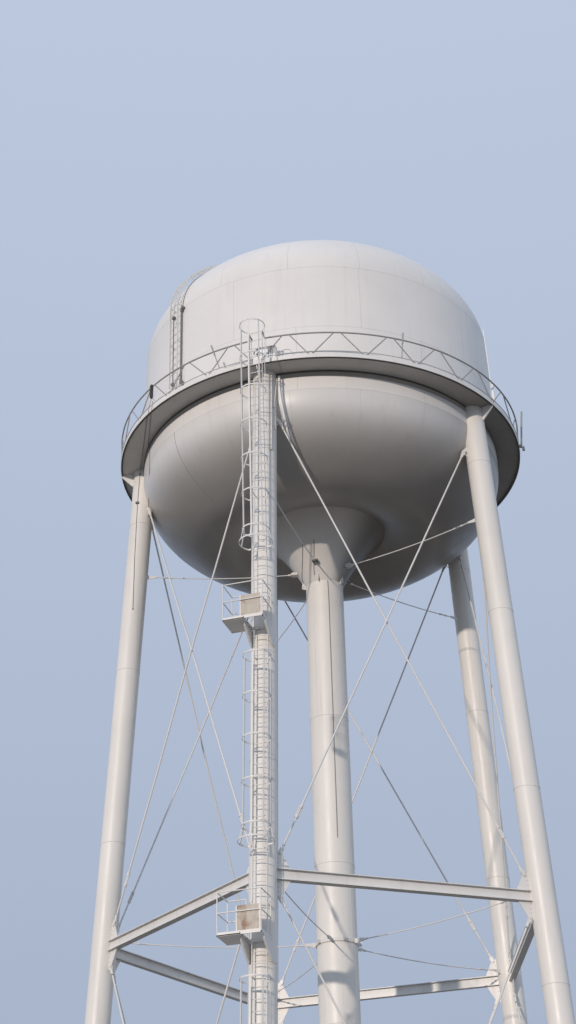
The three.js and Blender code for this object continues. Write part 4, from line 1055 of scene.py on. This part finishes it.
def stay(shape, levels, matrix, dark=False):
    """One stay: a lug, a clevis, a rod that sags a little, its turnbuckle and a plate on the leg."""
    root, pin_out, level, leg_level = levels["root"], levels["pin"], levels["level"], levels["leg"]
    pin = np.array((pin_out, 0.0, level))
    reach = leg_circle(leg_level) - LEG_RADIUS
    shoe = reach - STAY_SHOE["reach"]
    span = np.array((shoe + STAY_SHOE["lap"], 0.0, leg_level)) - pin
    half, thickness = STAY_LUG["height"] / 2, STAY_LUG["thickness"]
    edge = [(root, half)] + [(pin_out + out, half * share) for out, share in STAY_LUG["nose"]]
    lug = [(x, level - z) for x, z in edge] + [(x, level + z) for x, z in reversed(edge)]
    shape.add(upright(lug, thickness), matrix)
    path = []
    for share in np.linspace(0.03, 1, 25):
        path.append(pin + span * share - np.array((0, 0, STAY_SAG * 4 * share * (1 - share))))
    shape.add(sweep(path, circle(STAY_RADIUS, 10)), matrix)
    deep, cheek = levels["cheek"]
    back, point, neck, tip = (CLEVIS[key] for key in ("back", "point", "neck", "nose"))
    slim = deep * 0.45
    outline = [(-back, -deep), (-point, 0), (-back, deep), (neck, deep), (tip, slim), (tip, -slim),
               (neck, -deep)]
    # Where asked, the clevis cheeks take dark paint as painted shade
    for side in (-1, 1):
        y = side * (thickness / 2 + cheek / 2 + 1)
        shape.add(upright(outline, cheek, y), matrix @ move(*pin), kind=1 if dark else 0)
    width = np.array((0, cheek + thickness / 2 + CLEVIS["pin_end"], 0))
    shape.add(rod(pin - width, pin + width, CLEVIS["pin"]), matrix)
    steps = np.diff(path, axis=0)
    slope, along = (steps[i] / np.linalg.norm(steps[i]) for i in (0, STAY_BUCKLE["at"]))
    low, high = (pin + slope * end for end in CLEVIS["socket"])
    shape.add(rod(low, high, STAY_RADIUS * 1.9), matrix)
    spot = path[STAY_BUCKLE["at"]]
    for low, high in STAY_BUCKLE["barrels"]:
        shape.add(rod(spot + along * low, spot + along * high, STAY_RADIUS * 1.8), matrix)
    low, high = (spot + along * end for end in STAY_BUCKLE["bars"])
    for side in (-1, 1):
        shift = np.array((0, side * STAY_RADIUS * 1.5, 0))
        shape.add(rod(low + shift, high + shift, 8, 8), matrix)
    edge = [(shoe, 26), (reach + 30, STAY_SHOE["half"])]
    plate = [(x, leg_level - z) for x, z in edge] + [(x, leg_level + z) for x, z in reversed(edge)]
    shape.add(upright(plate, STAY_SHOE["thickness"]), matrix)
    x, half, radius = STAY_SHOE["pin"]
    shape.add(rod((shoe + x, -half, leg_level), (shoe + x, half, leg_level), radius), matrix)


def pierced(outline, centre, hole, thickness, corners=28):
    """An upright plate of convex outline with a round hole."""
    outer = []
    for ray in np.array(circle(1, corners)):
        reach = math.inf
        for a, b in zip(outline, outline[1:] + outline[:1]):
            edge, start = np.subtract(b, a), np.subtract(a, centre)
            cross = ray[0] * edge[1] - ray[1] * edge[0]
            if abs(cross) > 1e-9:
                along = (start[0] * edge[1] - start[1] * edge[0]) / cross
                share = (start[0] * ray[1] - start[1] * ray[0]) / cross
                if along > 0 and -1e-6 <= share <= 1 + 1e-6:
                    reach = min(reach, along)
        outer.append(np.add(centre, ray * reach))
    inner = [(centre[0] + x, centre[1] + z) for x, z in circle(hole, corners)]
    half = thickness / 2
    walls = ((inner, -half), (outer, -half), (outer, half), (inner, half))
    return skin([[(x, y, z) for x, z in ring] for ring, y in walls], True)


def spare_lug(shape, matrix):
    """A drop-shaped lug left from building, with an open pin hole, where riser and bell meet."""
    level, reach, eye = SPARE_LUG["level"], RISER_RADIUS + SPARE_LUG["reach"], SPARE_LUG["eye"]
    root, shoulder, top = RISER_RADIUS - LAP, RISER_RADIUS + SPARE_LUG["shoulder"], level + SPARE_LUG["rise"]
    nose = [(reach + x, level + z) for x, z, _ in (polar(eye, a) for a in np.linspace(-QUARTER, 0.45, 9))]
    outline = [(root, level - eye), *nose, (shoulder, top), (root, top)]
    shape.add(pierced(outline, (reach, level), SPARE_LUG["hole"], SPARE_LUG["thickness"]), matrix)


def riser_stays(name, node, levels, collared):
    shape = Shape()
    if collared:
        stay_collar(shape, levels["level"])
    for i in range(LEG_COUNT):
        stay(shape, levels, turn(leg_azimuth(i)), not collared and i in SHADED_CLEVISES)
        if not collared:
            spare_lug(shape, turn(leg_azimuth(i)))
    make(name, shape, "rod cover", "bracing", node)


# Balcony
def arc_body(section, start, end, steps):
    """A section of (radius, height) carried round part of the tower."""
    return skin([along_meridian(section, start + (end - start) * i / steps) for i in range(steps + 1)])


def balcony_floor(index):
    """A fifth of the deck and its curb, with the seams of both."""
    shape = Shape()
    outer, inner, shell = BALCONY_RADIUS, BALCONY_RADIUS - CURB["thickness"], TANK_RADIUS + 1
    low, top = BALCONY_LEVEL, BALCONY_LEVEL + CURB["height"]
    under = low + CURB["lip"]
    seam_gap = 1 / BALCONY_RADIUS
    start, end = leg_azimuth(index) + seam_gap, leg_azimuth(index + 1) - seam_gap
    # The lip stiffens the curb's foot, and a caulked angle closes the deck at the shell, over a band of
    # painted shadow cast by the deck
    deck = band(shell, inner + 4, under, DECK_TOP)
    curb = band(inner, outer, low, top)
    lip = band(inner - CURB["lip_width"], outer + 1, low - 3, low + CURB["lip_height"])
    angle = band(shell, shell + 12, under - JOINT_AND_SHADOW["angle"], under + 2)
    soot = band(shell, shell + 2, under - JOINT_AND_SHADOW["soot"], under - JOINT_AND_SHADOW["angle"] + 2)
    # The lip and the angle are painted dark: caulk, together with painted shade of the recess and the joint
    for section, kind in ((deck, 0), (curb, 1), (lip, 2), (angle, 2), (soot, 3)):
        shape.add(arc_body(section, start, end, TANK_SIDES // LEG_COUNT), kind=kind)
    for i in range(1, RAIL["bays"]):
        place = turn(start + (end - start) * i / RAIL["bays"])
        shape.add(flat_bar((shell + 14, 0, under - 1), (inner - 4, 0, under - 1), *DECK_SEAM), place)
        butt = flat_bar((outer - 1, 0, low + CURB["lip_height"]), (outer - 1, 0, top - 4), *CURB_SEAM, OUT)
        shape.add(butt, place, 1)
    node = f"balcony_floor_{index + 1}"
    make(f"balcony_deck_{index + 1}", shape, "deck curb caulk soot", "balcony", node)


def rail_point(angle, z, inward=0.0):
    return polar(RAIL_CIRCLE - inward, angle, z)


def handrail(index):
    """A fifth of the handrail, open towards the ladder's gate where it borders on it."""
    shape = Shape()
    origin, inset = leg_azimuth(index), RAIL["inset"]
    start = GATE[1] if index == 0 else 0
    end = LEG_STEP + (GATE[0] if index == LEG_COUNT - 1 else 0)
    foot, top = BALCONY_LEVEL + CURB["height"], BALCONY_LEVEL + RAIL["height"]
    steps = TANK_SIDES // LEG_COUNT
    low_level = BALCONY_LEVEL + RAIL["low_rise"]
    for level, radius, kind in ((top, RAIL["radius"], 0), (low_level, RAIL["low"], 1)):
        path = [rail_point(origin + start + (end - start) * i / steps, level) for i in range(steps + 1)]
        shape.add(sweep(path, circle(radius, 12)), kind=kind)
    bay = LEG_STEP / RAIL["bays"]
    for i in range(RAIL["bays"]):
        first = index == 0 and i == 0
        middle = (i + 0.5) * bay + (FIRST_SHIFT if first else 0)
        feet = (GATE_FOOT if first else i * bay + RAIL_FOOT, min((i + 1) * bay - RAIL_FOOT, end - inset))
        for spot, apex in zip(feet, (middle - RAIL_APEX, middle + RAIL_APEX)):
            low, high = rail_point(origin + spot, foot - 6), rail_point(origin + apex, top)
            shape.add(rod(low, high, RAIL["bar"], 10))
            shape.add(cuboid(*RAIL["shoe"]), turn(origin + spot) @ move(RAIL_CIRCLE, 0, foot))
    for at_gate, spot in ((index == 0, start + inset), (index == LEG_COUNT - 1, end - inset)):
        if at_gate:
            low, high = (rail_point(origin + spot, z) for z in (foot - 6, top))
            shape.add(rod(low, high, RAIL["post"], 10), kind=2)
    make(f"balcony_rail_{index + 1}", shape, "rail low_rail ladder", "rail", f"handrail_{index + 1}")


# Ladders
def ladder_point(z, x=0.0, y=0.0):
    """A point by its level, and how far out and along it lies from the ladder's middle."""
    start = PLATFORM_LEVELS[2]
    share = min(max(z - start, 0) / (BALCONY_LEVEL - start), 1)
    low = leg_circle(min(z, start)) + LADDER["offset"]
    out = low + (LADDER_HEAD["radius"] - low) * share
    return np.array((out + x, LADDER["shift"] + (LADDER_HEAD["shift"] - LADDER["shift"]) * share + y, z))


def cage_point(z, radius, azimuth):
    return ladder_point(z, CAGE["centre"] + radius * math.cos(azimuth), radius * math.sin(azimuth))


def straight_runs(low, high):
    return [(low, high)] if high <= BALCONY_LEVEL else [(low, BALCONY_LEVEL), (BALCONY_LEVEL, high)]


def hoop(shape, z, radius, spread):
    angles = [-spread + 2 * spread * i / CAGE["steps"] for i in range(CAGE["steps"] + 1)]
    path = [cage_point(z, radius, a) for a in angles]
    shape.add(sweep(path, rectangle(CAGE["hoop"], CAGE["strip"]), [polar(1, a) for a in angles]))


def cage(shape, low, high):
    """Hoops and upright strips round the ladder, with a wider hoop at the foot."""
    count = max(1, round((high - low) / HOOP_SPACING))
    levels = [low + (high - low) * i / count for i in range(count + 1)]
    for z in levels:
        hoop(shape, z, CAGE["radius"], CAGE_SPREAD)
    flare_level = low - CAGE_FLARE["drop"]
    flare_spread = math.acos(-CAGE["centre"] / CAGE_FLARE["radius"])
    hoop(shape, flare_level, CAGE_FLARE["radius"], flare_spread)
    reach = CAGE_FLARE["radius"] * math.sin(flare_spread)
    for side in (-1, 1):
        ends = (ladder_point(flare_level, 0, side * y) for y in (LADDER["half"] - 4, reach + 4))
        shape.add(flat_bar(*ends, CAGE["strip"], CAGE["hoop"]))
    inner, wide = (radius - CAGE["strip"] for radius in (CAGE["radius"], CAGE_FLARE["radius"]))
    for a in CAGE_STRIPS:
        runs = [(cage_point(flare_level - 20, wide, a), cage_point(low, inner, a))]
        runs += [[cage_point(z, inner, a) for z in run] for run in straight_runs(low, high)]
        for start, end in runs:
            shape.add(flat_bar(start, end, CAGE["width"], CAGE["strip"], polar(1, a)))
        for z in levels:
            add_bolt(shape, facing(cage_point(z, CAGE["radius"] + 5, a), polar(1, a)), BOLTS["ladder"], 1)


def leg_ladder(index):
    """One of the four caged ladders up the front leg. The highest one bends out to the balcony's gate."""
    shape = Shape()
    stops = (LADDER_FOOT, *PLATFORM_LEVELS, LADDER_HEAD["top"])
    low, high = stops[index] + (4 if index else 0), stops[index + 1]
    bent = high > BALCONY_LEVEL
    half, rung, end = LADDER["half"], LADDER["rung"], LADDER["half"] + LADDER["rung_end"]
    for side in (-1, 1):
        for run in straight_runs(low, high):
            ends = (ladder_point(z, 0, side * half) for z in run)
            shape.add(flat_bar(*ends, LADDER["width"], LADDER["depth"], OUT))
    z = low + LADDER["pitch"]
    while z < high - rung:
        shape.add(rod(ladder_point(z, 0, -end), ladder_point(z, 0, end), rung, 10))
        z += LADDER["pitch"]
    cage(shape, low + CAGE_LIFT, high - CAGE["hoop"] / 2 if bent else high - CAGE_HEADROOM)
    z = low + ARM["first"]
    while z < min(high, UPPER_RODS[0]) - ARM["last"]:
        arms(shape, z, leg_circle(z))
        z += ARM["spacing"]
    if bent:
        arms(shape, BALCONY_LEVEL + CURB["height"] / 2, BALCONY_RADIUS + 1)
    nodes = [f"leg_ladder_{index + 1}"] + (["ladder_head"] if bent else [])
    make(f"caged_ladder_{index + 1}", shape, "ladder zinc", "ladder", *nodes, azimuth=LADDER_LEG)


def arms(shape, z, root):
    """A pair of flat arms that carry the ladder, each bolted to its side rail."""
    half, rise = ARM["width"] / 2, ARM["height"] / 2
    for side in (-1, 1):
        tip = ladder_point(z, -LADDER["depth"] / 2 + 20, side * LADDER["half"])
        y = tip[1] + side * LADDER["width"]
        shape.add(cuboid((root, y - half, z - rise), (tip[0] + 12, y + half, z + rise)))
        add_bolt(shape, facing((tip[0] - 8, y + side * half, z), (0, side, 0)), BOLTS["ladder"], 1)


def rest_platform(index):
    """A landing on two knee plates: floor, curbs, hatch beside it, rails and a rusty guard sheet."""
    shape = Shape()
    level = PLATFORM_LEVELS[index]
    centre = leg_circle(level)
    left, right, edge, hatch = (PLATFORM[key] for key in ("left", "right", "edge", "hatch"))
    low = level - PLATFORM["curb"] / 3
    high = low + PLATFORM["curb"]
    x0, x1 = centre + PLATFORM["near"], centre + PLATFORM["far"]
    shape.add(cuboid((x0, left, level - PLATFORM["floor"]), (x1, hatch, level)))
    for start, end in (((x0, left), (x0 + edge, right)), ((x1 - edge, left), (x1, right)),
                       ((x0, left), (x1, left + edge)), ((x0, right - edge), (x1, right))):
        shape.add(cuboid((*start, low), (*end, high)))
    # Raised bars of the floor, and a bar across the hatch's edge
    bars, half, rise = PLATFORM["bars"], PLATFORM["bar"], PLATFORM["bar_height"]
    for i in range(bars):
        x = x0 + edge + (x1 - x0 - 2 * edge) * (i + 0.5) / bars
        low_corner, high_corner = (x - half, left + edge, level - 2), (x + half, hatch - 10, level + rise)
        shape.add(cuboid(low_corner, high_corner))
    width, height = PLATFORM["sill"]
    shape.add(cuboid((x0, hatch - width, low), (x1, hatch, level + height)))
    near, far, y0, y1 = x0 + edge / 2, x1 - edge / 2, left + edge / 2, right - edge / 2
    corners = [(near, PLATFORM["back"]), (near, y0), (far, y0), (far, y1), (near, y1)]
    for x, y in corners:
        shape.add(rod((x, y, level), (x, y, level + PLATFORM["top"]), PLATFORM["rail"]))
    for rise in (PLATFORM["top"], PLATFORM["middle"]):
        path = [(x, y, level + rise) for x, y in corners]
        for start, end in zip(path, path[1:]):
            shape.add(rod(start, end, PLATFORM["rail"] - 1))
    toe, drop, tip, reach = KNEE["root"] + LEG_RADIUS, KNEE["drop"], KNEE["toe"], KNEE["reach"]
    place = move(centre, 0, level)
    for y in KNEE["sides"]:
        root, top = math.sqrt(LEG_RADIUS ** 2 - y ** 2) - LAP, -PLATFORM["floor"]
        outline = [(root, -drop), (toe, -drop), (reach, -tip), (reach, top), (root, top)]
        shape.add(upright(outline, KNEE["thickness"], y), place)
        shape.add(flat_bar((toe, y, -drop + 6), (reach, y, -tip + 2), *KNEE["flange"], (0.5, 0, -1)), place)
    inner = x1 - edge - GUARD["inset"]
    left, right, top = GUARD["left"], GUARD["right"], level + GUARD["height"]
    shape.add(cuboid((inner, left, level + GUARD["gap"]), (inner + GUARD["sheet"], right, top)), kind=1)
    x = inner + GUARD["sheet"] + 2
    for y in (left + GUARD["post"], right - GUARD["post"]):
        shape.add(flat_bar((x, y, level), (x, y, top + 4), *GUARD["bar"], OUT))
    node = f"rest_platform_{index + 1}"
    make(f"landing_{index + 1}", shape, "ladder guard", "platform", node, azimuth=LADDER_LEG)


def roof_ladder_profile(offset, steps=40):
    radius, rise = TANK_RADIUS + offset, ROOF_TOP - SHELL_TOP + offset
    curve = ellipse(radius, rise, ROOF_LADDER["inner"], steps)
    return [(radius, ROOF_LADDER["bottom"])] + [(r, SHELL_TOP + z) for r, z in curve]


def roof_ladder():
    """The ladder up the shell and over the roof's edge, with its safety rail in the middle."""
    shape = Shape()
    standoff, half, dark_top = ROOF_LADDER["standoff"], LADDER["half"], ROOF_LADDER["dark_top"]
    middle = roof_ladder_profile(standoff)

    def outwards(profile):
        normals = meridian_normals([(r, 0, z) for r, z in profile], SHELL_TOP, ROOF_TOP - SHELL_TOP)
        return [OUT if z < SHELL_TOP else tuple(normal) for (_, z), normal in zip(profile, normals)]

    for y in (-half, half):
        path = [(r, y, z) for r, z in middle]
        shape.add(sweep(path, rectangle(LADDER["width"], LADDER["depth"]), outwards(middle)))
    safety = roof_ladder_profile(standoff + SAFETY_RAIL["out"])
    for low, high, kind in ((0, dark_top, 1), (dark_top, math.inf, 0)):
        part = clipped(safety, low, high)
        path = [(r, 0, z) for r, z in part]
        shape.add(sweep(path, rectangle(*SAFETY_RAIL["section"]), outwards(part)), kind=kind)
    x, (back, front, side) = safety[0][0], SAFETY_RAIL["clamp"]
    for z in (ROOF_LADDER["bottom"] + front, dark_top):
        shape.add(cuboid((x - back, -side, z - side), (x + front, side, z + side)), kind=1)
    radii, heights = np.array(middle).T
    lengths = np.concatenate([[0], np.cumsum(np.hypot(np.diff(radii), np.diff(heights)))])
    count = int(lengths[-1] / LADDER["pitch"])
    for i in range(count):
        x, z = (np.interp((i + 0.5) * lengths[-1] / count, lengths, values) for values in (radii, heights))
        end = half + ROOF_LADDER["rung_end"]
        shape.add(rod((x, -end, z), (x, end, z), LADDER["rung"], 10))
    for share in ROOF_LADDER["brackets"]:
        x, z = (np.interp(share * lengths[-1], lengths, values) for values in (radii, heights))
        root = -Vector(outwards([(x, z)])[0]) * (standoff + 30)
        for y in (-half, half):
            end = Vector((x, y, z))
            shape.add(flat_bar(end + root, end, *ROOF_LADDER["bracket"], UP if z < SHELL_TOP else OUT))
    azimuth = LADDER_LEG + ROOF_LADDER["azimuth"]
    make("shell_ladder", shape, "ladder cover", "rail", "roof_ladder", azimuth=azimuth)


def clipped(profile, low, high):
    """The stretch of a rising profile of (radius, height) between two heights, with its ends added."""
    radii, heights = zip(*profile)
    low, high = max(low, heights[0]), min(high, heights[-1])
    inside = [(r, z) for r, z in profile if low < z < high]
    return [(np.interp(low, heights, radii), low), *inside, (np.interp(high, heights, radii), high)]


# Small fittings
def wall_pipe():
    """A dark conduit up the shell beside the roof ladder, clamped at both ends, with its cable above."""
    shape = Shape()
    azimuth, low, high, box = (WALL_PIPE[key] for key in ("azimuth", "low", "high", "box"))
    place, out = turn(azimuth), TANK_RADIUS + WALL_PIPE["standoff"]
    shape.add(rod((out, 0, low), (out, 0, high), WALL_PIPE["radius"], 14), place)
    for z, sign in ((low, -1), (high, 1)):
        level = z + sign * box
        back, side, front, half = WALL_PIPE["clamp"]
        shape.add(rod((TANK_RADIUS - 2, box, level), (out + side, box, level), box, 20), place)
        shape.add(cuboid((out - back, -side, z - half), (out + front, box, z + half)), place)
    profile = roof_ladder_profile(WALL_PIPE["cable_gap"])
    path = clipped(profile, high + 2 * box, ROOF_TOP - WALL_PIPE["cable_drop"])
    veer = WALL_PIPE["veer"] / (len(path) - 1)
    cable = [polar(r, azimuth + veer * i, z) for i, (r, z) in enumerate(path)]
    shape.add(sweep(cable, circle(WALL_PIPE["cable"], 8)))
    make("shell_conduit", shape, "cover", "fitting")


def overflow_pipe():
    """A bright pipe from under the balcony down the bowl, veering a little on its way."""
    radius, first, last = OVERFLOW["radius"], OVERFLOW["from"], OVERFLOW["to"]
    gap = radius + 2
    profile = [(TANK_RADIUS + gap, OVERFLOW["top"]), (TANK_RADIUS + gap, SHELL_BOTTOM + 60)]
    profile += [((TANK_RADIUS + gap) * math.cos(a), SHELL_BOTTOM - (BOWL_DEPTH + gap) * math.sin(a))
                for a in np.linspace(0, OVERFLOW["end"], 22)]
    path = []
    for r, z in profile:
        share = max(SHELL_BOTTOM - z, 0) / (SHELL_BOTTOM - profile[-1][1])
        path.append(polar(r, first + (last - first) * share, z))
    shape = Shape()
    shape.add(sweep(path, circle(radius, 20), [(x, y, 0) for x, y, _ in path]))
    make("overflow_line", shape, "bright", "fitting", "overflow_pipe")


def cabinet():
    """A white box on the deck by the gate, rounded on its left, with a lid, a door and a round cover."""
    low, high = real_box("balcony_cabinet")
    shape = Shape()
    (width, depth, height), middle = high - low, (low + high) / 2
    place = move(middle.x, middle.y, low.z)
    left, right, top, front = -width / 2 + LAP, width / 2 - LAP, height - LAP, -depth / 2 + CABINET["recess"]
    radius = CABINET["corner"]
    quarter = [polar(radius, a) for a in np.linspace(0, QUARTER, 9)]
    arc = [(left + radius - up, top - radius + out) for out, up, _ in quarter]
    shape.add(upright([(right, 0), (right, top), *arc, (left, 0)], depth - 2 * CABINET["recess"]), place)
    over, down = CABINET["lid_side"]
    rim = [(right + 3, top - CABINET["lid_end"]), (right + 3, top + 3), *[(x - 3, z + 3) for x, z in arc],
           *[(x + over, z - down) for x, z in reversed(arc)]]
    shape.add(upright(rim, depth - CABINET["lid"]), place, 2)
    hinge, sill, edge, head = CABINET["door"]
    door = cuboid((right - hinge, front - 8, top - sill), (right - edge, front + 2, top - head))
    shape.add(door, place, 1)
    x, z = left + CABINET["cover_place"][0], top - CABINET["cover_place"][1]
    cover, hub = (-16, 4, CABINET["cover"], 24, 1), (-22, -10, CABINET["hub"], 16, 2)
    for start, end, radius, sides, kind in (cover, hub):
        shape.add(rod((x, front + start, z), (x, front + end, z), radius, sides), place, kind)
    inset, half = CABINET["foot"]
    for x in (left + inset, right - inset):
        shape.add(cuboid((x - half, front - LAP, 0), (x + half, front + 10, 2 * half)), place)
    make("gate_cabinet", shape, "bright panel cover", "fitting", "balcony_cabinet")


def mast():
    """A short tube on the deck with a thin whip clamped beside it."""
    low, high = real_box("balcony_mast")
    x, y, _ = (low + high) / 2
    foot, head = low.z, high.z
    shape = Shape()
    place = turn(math.atan2(y, x)) @ move(math.hypot(x, y))
    shape.add(rod((0, 0, foot), (0, 0, foot + MAST["height"]), MAST["radius"], 18), place)
    half, (low_out, high_out), side = MAST["base"], MAST["whip_out"], -MAST["whip_side"]
    shape.add(cuboid((-half, -half, foot - SUNK), (half, half, foot + 10)), place)
    start, end = (-low_out, side, foot + MAST["whip_low"]), (-high_out, side, head - LAP)
    shape.add(rod(start, end, MAST["whip"]), place)
    (back, left), (front, right) = MAST["clamp"]
    for rise in MAST["clamps"]:
        low, high = foot + rise - MAST["clamp_half"], foot + rise + MAST["clamp_half"]
        shape.add(cuboid((-back, -left, low), (front, right, high)), place)
    make("whip_antenna", shape, "bright", "fitting", "balcony_mast")


def antenna_post():
    """A leaning post clamped outside the curb, with a small box near its foot."""
    shape = Shape()
    place = turn(ANTENNA["azimuth"]) @ move(ANTENNA["reach"], 0, BALCONY_LEVEL)
    low, high, lean = ANTENNA["low"], ANTENNA["high"], ANTENNA["lean"]
    shape.add(rod((0, 0, low), (lean, 0, high), ANTENNA["radius"], 16), place)
    back, front, side, half = ANTENNA["clamp"]
    for share in ANTENNA["clamps"]:
        z = low + (high - low) * share
        shape.add(cuboid((-back, -side, z - half), (lean * share + front, side, z + half)), place)
    (near, sill), (far, head) = ANTENNA["box"]
    shape.add(cuboid((near, -side, low + sill), (far, side, low + head)), place, 1)
    make("leaning_post", shape, "post panel", "fitting")


def rail_antennas():
    """Two thin dark rods and a slim black box on the balcony's rail, with the box's cables."""
    shape = Shape()
    for ends in RAIL_RODS["ends"]:
        foot, head = (np.array(rail_point(math.radians(angle), BALCONY_LEVEL + rise, -RAIL_OUT))
                      for angle, rise in ends)
        shape.add(rod(foot, head, RAIL_RODS["radius"], 10))
        shape.add(rod(foot + (head - foot) * RAIL_RODS["joint"], head, RAIL_RODS["thick"]))
    place = turn(SLIM_BOX["azimuth"]) @ move(BALCONY_RADIUS + SLIM_BOX["out"], 0, BALCONY_LEVEL)
    low, high, half, bevel = (SLIM_BOX[key] for key in ("low", "high", "half", "bevel"))
    edge = half * 0.6
    outline = [(-half, low), (edge, low), (half, low + bevel), (half, high - bevel), (edge, high),
               (-half, high)]
    shape.add(upright(outline, 1.7 * half), place, 1)
    (back, left, sill), (front, right, head) = SLIM_BOX["arm"]
    shape.add(cuboid((-back, -left, high - sill), (front, right, high - head)), place, 1)
    for side in (-1, 1):
        cable = [(x, side * y, low + z) for x, y, z in SLIM_BOX["cable"]]
        shape.add(sweep(cable, circle(CABLE, 8), OUT), place)
    make("rail_antennas", shape, "rail dark", "fitting")


def leg_place(index, angle, z):
    """A turn by degrees about a leg's axis, where the leg stands at level z. Heights aren't moved."""
    return turn(leg_azimuth(index)) @ move(leg_circle(z)) @ turn(math.radians(angle))


def leg_line(shape, index, points, radius, kind):
    """A conduit along a leg, clamped at both ends: points of (degrees about the leg, level)."""
    path, clamp = [], radius + 12
    for angle, z in points:
        x, y, _ = polar(LEG_RADIUS + radius - 3, math.radians(angle))
        path.append((leg_circle(z) + x, y, z))
    shape.add(sweep(path, circle(radius, 12), SLANT), turn(leg_azimuth(index)), kind)
    for (angle, z), rise in ((points[0], -30), (points[-1], 30)):
        place = leg_place(index, angle, z) @ move(0, 0, z + rise)
        out = LEG_RADIUS + 2 * radius + 2
        shape.add(cuboid((LEG_RADIUS - LAP, -clamp, -16), (out, clamp, 16)), place, kind)


def conduits():
    """Conduits on two legs and cables over the bell and down the riser."""
    shape = Shape()
    for line in LEG_LINES:
        leg_line(shape, *line)
    index, angle, z = LEG_CLAMP
    clamp = cuboid((LEG_RADIUS - LAP, -56, z - 32), (LEG_RADIUS + 62, 56, z + 32))
    shape.add(clamp, leg_place(index, angle, z), 1)
    radii, heights = zip(*bell_profile())
    for line in BELL_CABLES:
        path = [polar(r + 12, math.radians(a), np.interp(r, radii, heights)) for a, r in line]
        shape.add(sweep(path, circle(CABLE, 10)), kind=1)
    for line in RAIL_CABLES:
        path = [polar(r, math.radians(a), z) for a, r, z in line]
        shape.add(sweep(path, circle(CABLE, 10), SLANT), kind=2)
    cable = [polar(RISER_RADIUS + CABLE, math.radians(a), z) for a, z in RISER_CABLE]
    shape.add(sweep(cable, circle(THICK_CABLE, 10), OUT), kind=2)
    make("conduits", shape, "leg cover cable", "fitting")


def gate_cables():
    """A loop of cable on the low rail, and the cabinet's cable over the curb and under the deck."""
    shape = Shape()
    loop = [rail_point(LADDER_LEG + math.radians(angle), BALCONY_LEVEL + rise) for angle, rise in LOOP]
    shape.add(sweep(loop, circle(THICK_CABLE, 10), polar(1, LADDER_LEG)))
    angle = LADDER_LEG + CURB_LINE["angle"]
    line = [rail_point(angle, BALCONY_LEVEL + rise, inward) for rise, inward in CURB_LINE["points"]]
    shape.add(sweep(line, circle(THICK_CABLE, 10), polar(1, angle + QUARTER)), kind=1)
    make("gate_cables", shape, "low_rail panel", "fitting")


def gate_bars():
    """Dark bars from the tops of the ladder's stiles down to the ends of the handrail."""
    shape = Shape()
    for side, angle in zip((-1, 1), GATE):
        start = ladder_point(LADDER_HEAD["top"] - GATE_BAR["drop"], 0, side * (LADDER["half"] + 25))
        shape.add(rod(start, rail_point(angle, BALCONY_LEVEL + RAIL["height"]), GATE_BAR["radius"]))
    make("gate_returns", shape, "rail", "rail", azimuth=LADDER_LEG)


add_camera()
add_surroundings()
for build in (tank_roof, tank_shell, tank_bowl, bell, riser, roof_vent, roof_hatch):
    build()
for number in range(LEG_COUNT):
    leg(number)
    bracket(number)
    crossed_rods(number, "upper", UPPER_RODS)
    crossed_rods(number, "lower", LOWER_RODS)
    strut_bolts(number)
    balcony_floor(number)
    handrail(number)
riser_stays("upper_stay_rods", "upper_stays", UPPER_STAYS, False)
riser_stays("lower_stay_rods", "lower_stays", LOWER_STAYS, True)
for number in range(len(PLATFORM_LEVELS) + 1):
    leg_ladder(number)
for number in range(len(PLATFORM_LEVELS)):
    rest_platform(number)
for build in (roof_ladder, wall_pipe, overflow_pipe, cabinet, mast, antenna_post, rail_antennas, conduits,
              gate_cables, gate_bars):
    build()

for number in range(LEG_COUNT):
    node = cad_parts[f"strut_{number + 1}"]
    node.data.materials.clear()
    node.data.materials.append(PAINT["steel"])
